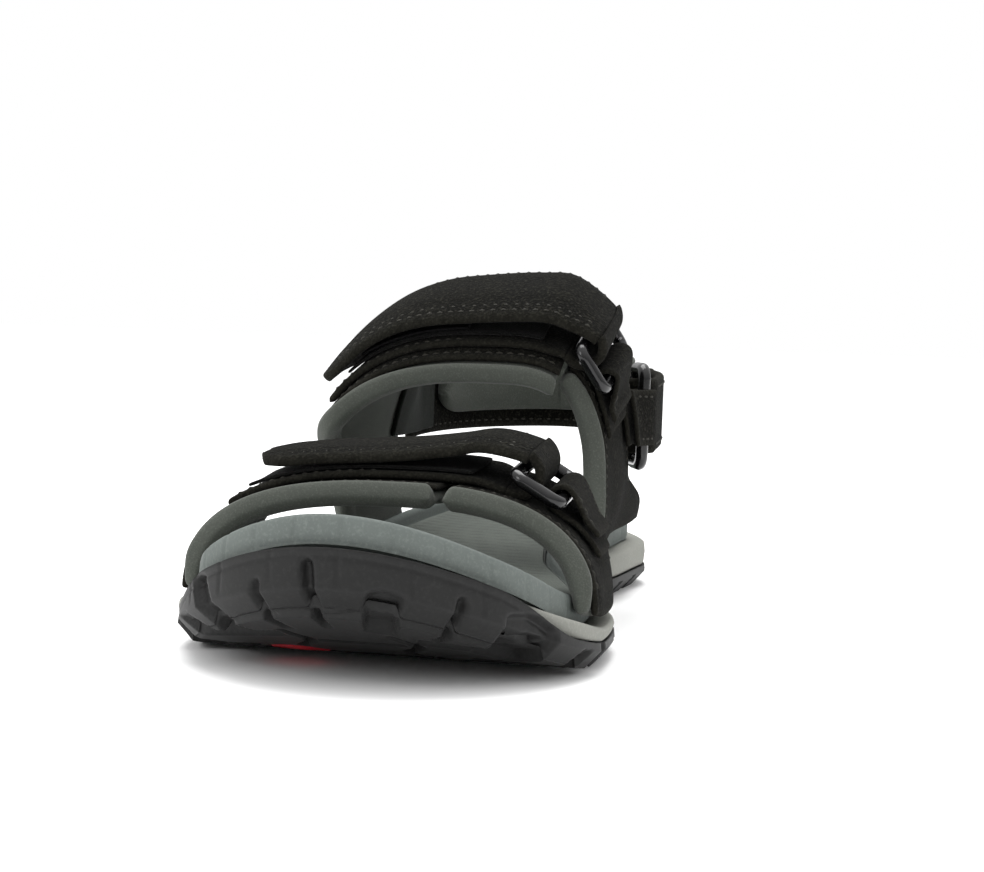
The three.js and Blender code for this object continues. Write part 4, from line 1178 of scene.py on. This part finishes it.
def closure_tapes(name, parts, y, width, base_from, free_u, free_end, end_lift):
    """Loop tape on the lower run and hook tape under the flap."""
    lower_body, _ = strap_bodies(name, parts)
    for kind, material, body, u_from, u_to, half, low in (
            ("loop", LOOP_TAPE, lower_body, base_from + 0.05, free_u - 0.06, 0.42, lambda u: LOOP_LOW),
            ("hook", HOOK_TAPE, f"{name}_flap_body", free_end + 0.045, free_u - 0.15, 0.4,
             lambda u: HOOK_LOW + end_lift(u))):
        points, normals, u, _ = on_form_grid(u_from, u_to, lambda u: y - half * width + 0 * u,
                                             lambda u: y + half * width + 0 * u, rows=50, columns=16,
                                             length=60, width=width, radius=0.4)
        tape, faces, rim = shell(points, normals, low(u) + TAPE, low(u), TAPE / 2)
        add_piece(f"Tape_{name}_{kind}", tape, faces, material, f"{kind}_tape", rim=rim,
                  body=body, stands_for=[f"{name}_{kind}_patch"])


def closure_tab(name, parts, y, width, hinge_u, tail):
    """The leather loop that is sewn to the quarter and holds the ring's fixed bar."""
    tab_width = width - 6
    tab_ys = (y + ACROSS * tab_width)[None, :]
    folded = TAB_MIDDLE + TAB + GAP + ROD / 2
    controls = np.concatenate([
        off_form(mix(tail, hinge_u, np.array([[0], [0.2], [0.4], [0.6]])), tab_ys, TAB_MIDDLE + GAP),
        round_bar("hinge", parts, ACROSS * tab_width, TAB_TURN, TAB_DEGREES),
        off_form(mix(tail, hinge_u, np.array([[0.5], [0.38], [0.26]])), tab_ys, folded)])
    band(f"Tab_{name}", rows_between(controls, 0, len(controls) - 1, 90, turn_start=1, turn_end=1), NUBUCK,
         "nubuck", TAB / 2, -TAB / 2, stands_for=[f"{name}_ring_tab"], columns=20,
         stitched=((2.0, 29, 1.5),))


def closure(name, y, width, hinge_u, base_from, free_end, free_lift, tail, arch, longer):
    """A whole closure. The strap meets the ring where its middle line is level with the free bar."""
    parts = hardware(name)
    tries = np.linspace(0.45, hinge_u, 201)
    miss = np.abs((off_form(tries, y, BASE_MIDDLE) - parts["free"]) @ parts["reach"])
    free_u = tries[miss.argmin()]

    def end_lift(u):
        return free_lift * clamp((free_end + FREE_END_RUN - u) / FREE_END_RUN) ** 2

    closure_strap(name, parts, y, width, base_from, free_u, free_end, longer, arch, end_lift)
    closure_tapes(name, parts, y, width, base_from, free_u, free_end, end_lift)
    closure_tab(name, parts, y, width, hinge_u, tail)
    add_ring(name, parts, width)


# %% [markdown]
# ## Rings
# Each ring is a moulded loop: a rounded rectangle bent from a round rod. A profile circle is
# carried along a flat closed path, which is four straight bars joined by quarter circles.

# %% A ring
RING_SIDE_CLEARANCE, RING_CORNER = 1.0, 3.0


def add_ring(name, parts, width):
    """The rod is ROD in radius and bends round its corners; both bars lie on the joints' axes."""
    half = width / 2 + RING_SIDE_CLEARANCE + ROD - RING_CORNER
    reach_half = np.linalg.norm(parts["free"] - parts["hinge"]) / 2 - RING_CORNER
    turn = (np.arange(4)[:, None] * 90 + np.linspace(0, 90, 13)[None, :]) * np.pi / 180
    sign = np.array([[1, 1], [-1, 1], [-1, -1], [1, -1]])[:, None, :]
    flat = sign * np.array([half, reach_half]) + RING_CORNER * np.stack([np.cos(turn), np.sin(turn)], -1)
    flat = flat.reshape(-1, 2)
    flat = np.concatenate([np.linspace(p, q, 7)[:-1] for p, q in zip(flat, np.roll(flat, -1, axis=0))])
    ahead = unit(np.roll(flat, -1, axis=0) - np.roll(flat, 1, axis=0))
    outward = np.stack([ahead[:, 1], -ahead[:, 0]], -1)
    angle = np.linspace(0, 2 * np.pi, 25)[None, :-1, None]
    plane = flat[:, None, :] + outward[:, None, :] * ROD * np.cos(angle)
    centre = (parts["free"] + parts["hinge"]) / 2
    points = (centre + plane[..., :1] * parts["along"] + plane[..., 1:] * parts["reach"]
              + parts["out"] * ROD * np.sin(angle))
    faces = grid_faces(len(flat), 24, wrap=True).reshape(-1, 24, 4)
    seam = np.stack([(len(flat) - 1) * 24 + np.arange(24), (len(flat) - 1) * 24 + (np.arange(24) + 1) % 24,
                     (np.arange(24) + 1) % 24, np.arange(24)], -1)
    add_piece(f"Ring_{name}", points, np.concatenate([faces.reshape(-1, 4), seam]), GLOSS, "ring_plastic",
              body=f"{name}_ring_body", stands_for=[f"{name}_ring"])


for name, sizes in CLOSURES.items():
    closure(name, **sizes)

# %% [markdown]
# ## The heel
# The heel strap is a sling: it leaves the elastic gore behind the outer quarter, goes round the
# heel and comes to its ring on the inner side. Inside it is a padded collar with a fat top roll
# and a sewn line up the middle of the heel.

# %% The sling
SLING_Z, SLING_WIDTH = 57.0, 22.0
HEEL_HINGE_Y, GORE_SEWN_Y, GORE_LEAVES_Y = 77.0, 80.0, 93.0
heel = hardware("heel")


def wall_u(side, y, z):
    """The cross line where the last's wall reaches a height: read back from a fine table of heights."""
    u = np.linspace(0.6, 0.99, 400)[::-1] if side > 0 else np.linspace(0.02, 0.45, 400)
    return np.interp(z, on_form(u, np.full(400, y))[:, 2], u)


sling_outer = on_form(wall_u(LATERAL, GORE_LEAVES_Y, SLING_Z), np.array(GORE_LEAVES_Y))[0] + 0.3
sling_inner = (heel["free"] - (FOLD_RADIUS + GAP + STRAP / 2) * heel["out"])[0]
plan = np.array([(sling_outer, 0), (0.94 * sling_outer, 0.23), (0.75 * sling_outer, 0.57),
                 (0.35 * sling_outer, 0.87), (3, 1), (0.56 * sling_inner, 0.86),
                 (0.86 * sling_inner, 0.54), (sling_inner, 0.17)])
SLING_FRONT_Y, SLING_BACK_Y = 104.0, HEEL_Y - 18
plan = np.stack([plan[:, 0], mix(SLING_FRONT_Y, SLING_BACK_Y, plan[:, 1]), 0 * plan[:, 0]], -1)
plan = np.concatenate([plan, [[sling_inner, heel["free"][1] + 1, 0]]])


def sling_point(at, w, out):
    """Beside the sling: `at` 0 to 1 along it, w from -0.5 low to 0.5 high, `out` mm away from the heel."""
    at, w, out = np.broadcast_arrays(at, w, out)
    flat = at.reshape(-1)
    last = len(plan) - 1
    here, ahead, behind = (curve_through(plan, clamp(flat + d) * last) for d in (0, 0.01, -0.01))
    along = unit(ahead - behind)
    place = here + np.stack([-along[:, 1], along[:, 0], 0 * flat], -1) * out.reshape(-1)[:, None]
    place[:, 2] = SLING_Z + w.reshape(-1) * SLING_WIDTH + 3 * np.sin(np.pi * flat)
    return place.reshape(*at.shape, 3)


def heel_strap():
    """The lower run, the fold and the flap of the heel strap, cut like the others."""
    ats = np.linspace(0, 0.955, 22)[:, None]
    flap_at = np.linspace(0.9, 0.74, 5)[:, None]
    flap_out = (STRAP + FLAP) / 2 + 3 * GAP + 2 * TAPE
    stand = flap_out + 3.6 * smooth((flap_at - 0.78) / 0.12) + 2.5 * smooth((0.8 - flap_at) / 0.06)
    up = -ACROSS
    controls = np.concatenate([
        sling_point(ats, up[None, :], 0),
        round_bar("free", heel, ACROSS * SLING_WIDTH, BEND, FOLD_DEGREES),
        sling_point(flap_at, up[None, :], stand)])
    under, over, last = len(ats), len(ats) + len(FOLD_DEGREES) - 1, len(controls) - 1
    lower_body, fold_body = strap_bodies("heel", heel)
    band("Strap_heel_lower", rows_between(controls, 0, under, 200, turn_start=1), NUBUCK, "nubuck",
         STRAP / 2, -STRAP / 2, body=lower_body, stands_for=["heel_strap"], cut=(False, True),
         stitched=((2.4, 3, 40),), tacks=(2.5, 4.5, 6.5))
    band("Strap_heel_fold", rows_between(controls, under, over, 60), NUBUCK, "nubuck",
         FLAP / 2, -FLAP / 2, body=fold_body, cut=(True, True))
    band("Strap_heel_flap", rows_between(controls, over, last, 60, turn_end=1), NUBUCK, "nubuck",
         FLAP / 2, -FLAP / 2, body="heel_flap_body", stands_for=["heel_flap"], cut=(True, False),
         round_end=7.0, stitched=((2.5, 2, 5),))
    for kind, material, low_at, high_at, out, body in (
            ("loop", LOOP_TAPE, 0.76, 0.88, STRAP / 2 + GAP + TAPE / 2, lower_body),
            ("hook", HOOK_TAPE, 0.785, 0.83, flap_out - FLAP / 2 - GAP - TAPE / 2, "heel_flap_body")):
        grid = sling_point(np.linspace(low_at, high_at, 24)[:, None], -0.8 * ACROSS[None, :], out)
        band(f"Tape_heel_{kind}", grid, material, f"{kind}_tape", TAPE / 2, -TAPE / 2, body=body,
             stands_for=[f"heel_{kind}_patch"], columns=16)


heel_strap()


# %% The padded collar, the gore and the heel's tab
COLLAR_START, COLLAR_END, COLLAR_LENGTH = 0.15, 0.84, 150


def heel_collar():
    """A padded band inside the sling: a fat roll along its top, a channel, and a cushion below."""
    at = mix(COLLAR_START, COLLAR_END, rim_steps(110, COLLAR_LENGTH, 2.0))[:, None]
    from_end = np.minimum(at - COLLAR_START, COLLAR_END - at) / 0.08
    full = np.sqrt(1 - np.clip(1 - from_end, 0, 0.97) ** 2)
    w = mix(mix(0.3, 0.72, full), mix(0.1, -0.24, full), rim_steps(44, 21, 2.0)[None, :])
    points = sling_point(at, w, -(STRAP / 2 + GAP))
    normals = unit(sling_point(at, w, 1.0) - sling_point(at, w, 0.0))
    first, last = edge_distances(points, 1)
    middle_seam = bell(COLLAR_LENGTH * (at - 0.5), 2.2)
    top_roll = 2.4 * hump(first / ROLL) ** 0.8 * smooth((full - 0.75) / 0.25)
    below = hump((first - CHANNEL) / np.maximum(first + last - CHANNEL, 1))
    crown = 1.6 * hump(first / CHANNEL) ** 0.7 + 1.2 * below ** 0.7
    body, faces, rim = shell(points, normals, top_roll * (1 - 0.2 * middle_seam),
                             -2.6 - crown * (1 - 0.75 * middle_seam), 2.2)
    piece = add_piece("Lining_heel", body, faces, PADDING, "padded_lining",
                      stands_for=["heel_strap_lining"], rim=0.6 * rim)


def elastic_gore():
    """A short band sewn inside the outer quarter; its ribs stand up every two millimetres."""
    z = SLING_Z + ACROSS * (SLING_WIDTH - 4)

    def inside(y):
        u = wall_u(LATERAL, y, z)
        line = off_form(u, np.full(len(u), y), -LINING - 4 * GAP - 0.7)
        line[:, 2] = z
        return line

    mid_y = (GORE_SEWN_Y + 2 * GORE_LEAVES_Y) / 3
    controls = np.stack([inside(GORE_SEWN_Y), inside(mid_y), inside(GORE_LEAVES_Y) - [0.5, 0, 0],
                         *(sling_point(at, ACROSS * (1 - 4 / SLING_WIDTH), -(STRAP / 2 + GAP + 0.7))
                           for at in (0.03, 0.08, 0.13))])

    def ribs(run, across):
        return 0.45 * np.abs(np.sin(np.pi * run / 2.2))[:, None] - 0.2 + 0 * across

    band("Elastic_gore", rows_between(controls, 0, 5, 150), ELASTIC, "elastic", 0.7, -0.7,
         stands_for=["elastic_gore"], relief=ribs)


def heel_tab():
    z = SLING_Z - ACROSS * (SLING_WIDTH - 6)

    def on_wall(away, off):
        y = HEEL_HINGE_Y - away
        u = wall_u(MEDIAL, y, z)
        return xyz(on_form(u, np.full(len(u), y))[:, 0] + off, y, z)

    folded = TAB_MIDDLE + TAB + GAP + 0.8 * ROD
    controls = np.concatenate([
        np.stack([on_wall(away, TAB_MIDDLE + GAP) for away in (13.5, 10.5, 7.5, 4.5)]),
        round_bar("hinge", heel, ACROSS * (SLING_WIDTH - 6), TAB_TURN, TAB_DEGREES),
        np.stack([on_wall(away, folded) for away in (10.5, 13)])])
    band("Tab_heel", rows_between(controls, 0, 10, 80, turn_start=1, turn_end=1), NUBUCK, "nubuck",
         TAB / 2, -TAB / 2, stands_for=["heel_ring_tab"], columns=20, stitched=((2.0, 24, 1.5),))


heel_collar()
elastic_gore()
heel_tab()
add_ring("heel", heel, SLING_WIDTH)

# %% [markdown]
# ## Floor, light and camera
# The sandal stands on a plain pale floor under soft studio light: a bright, even surround, a large
# soft lamp from above and behind, and a weaker one from the front left that brings out the
# rubber and the rings. The camera looks at the toe from low down and a little to one side.

# %% Floor and light
floor_mesh = bpy.data.meshes.new("Floor")
FLOOR_HALF = 6.0
corners = FLOOR_HALF * np.array([[-1, -1, 0], [1, -1, 0], [1, 1, 0], [-1, 1, 0]])
floor_mesh.from_pydata(corners.tolist(), [], [[0, 1, 2, 3]])
floor = bpy.data.objects.new("Floor", floor_mesh)
bpy.context.scene.collection.objects.link(floor)
pale = bpy.data.materials.new("Pale floor")
pale.use_nodes = True
for label, value in (("Base Color", (1, 1, 1, 1)), ("Roughness", 0.55), ("Specular IOR Level", 0.0)):
    pale.node_tree.nodes["Principled BSDF"].inputs[label].default_value = value
floor_mesh.materials.append(pale)

world = bpy.data.worlds.new("Studio surround")
world.use_nodes = True
sky = world.node_tree
backdrop = sky.nodes["Background"]
backdrop.inputs["Color"].default_value = (1, 1, 1, 1)
direction = sky.nodes.new("ShaderNodeSeparateXYZ")
sky.links.new(sky.nodes.new("ShaderNodeTexCoord").outputs["Generated"], direction.inputs[0])
LIGHT_BELOW, LIGHT_ABOVE = 0.45, 1.55
height = sky.nodes.new("ShaderNodeMapRange")
height.inputs["To Min"].default_value, height.inputs["To Max"].default_value = LIGHT_BELOW, LIGHT_ABOVE
sky.links.new(direction.outputs["Z"], height.inputs["Value"])
plain_behind = sky.nodes.new("ShaderNodeMix")
sky.links.new(sky.nodes.new("ShaderNodeLightPath").outputs["Is Camera Ray"], plain_behind.inputs[0])
sky.links.new(height.outputs["Result"], plain_behind.inputs[2])
plain_behind.inputs[3].default_value = 1.0
sky.links.new(plain_behind.outputs[0], backdrop.inputs["Strength"])
bpy.context.scene.world = world
bpy.context.scene.view_settings.view_transform = "Standard"


def soft_lamp(name, place, aim, size, power):
    """A square area lamp at `place` that faces `aim`, in metres and watts."""
    lamp = bpy.data.lights.new(name, "AREA")
    lamp.size, lamp.energy = size, power
    obj = bpy.data.objects.new(name, lamp)
    facing = (Vector(aim) - Vector(place)).to_track_quat("-Z", "Y").to_matrix().to_4x4()
    obj.matrix_world = Matrix.Translation(place) @ facing
    bpy.context.scene.collection.objects.link(obj)


soft_lamp("Overhead", (-0.15, 0.25, 1.1), (0, 0, 0.03), 0.9, 12)
soft_lamp("Front_left", (-0.8, -0.9, 0.55), (0, -0.08, 0.03), 0.5, 3)
print("lamps: 2, with an even surround")

# %% The camera
AZIMUTH, ELEVATION, CAMERA_ROLL = np.radians([14.35, 4.2, 1.88])
TARGET = np.array([0, 0, 40.0])
DISTANCE = 626.4
back = np.array([np.sin(AZIMUTH) * np.cos(ELEVATION), -np.cos(AZIMUTH) * np.cos(ELEVATION),
                 np.sin(ELEVATION)])
right = unit(np.cross([0, 0, 1.0], back))
up = np.cross(back, right)
rolled_right = right * np.cos(CAMERA_ROLL) + up * np.sin(CAMERA_ROLL)
rolled_up = -right * np.sin(CAMERA_ROLL) + up * np.cos(CAMERA_ROLL)
lens = bpy.data.cameras.new("Camera")
lens.sensor_width, lens.lens = 36.0, 87.13
lens.shift_x, lens.shift_y = 0.067, 0.0495
lens.clip_start = 0.05
camera = bpy.data.objects.new("Camera", lens)
turn = Matrix(np.stack([rolled_right, rolled_up, back], 1).tolist()).to_4x4()
camera.matrix_world = Matrix.Translation(((TARGET + back * DISTANCE - CENTRE) / 1000).tolist()) @ turn
bpy.context.scene.collection.objects.link(camera)
bpy.context.scene.camera = camera
print("camera at", [round(v, 3) for v in camera.matrix_world.translation])
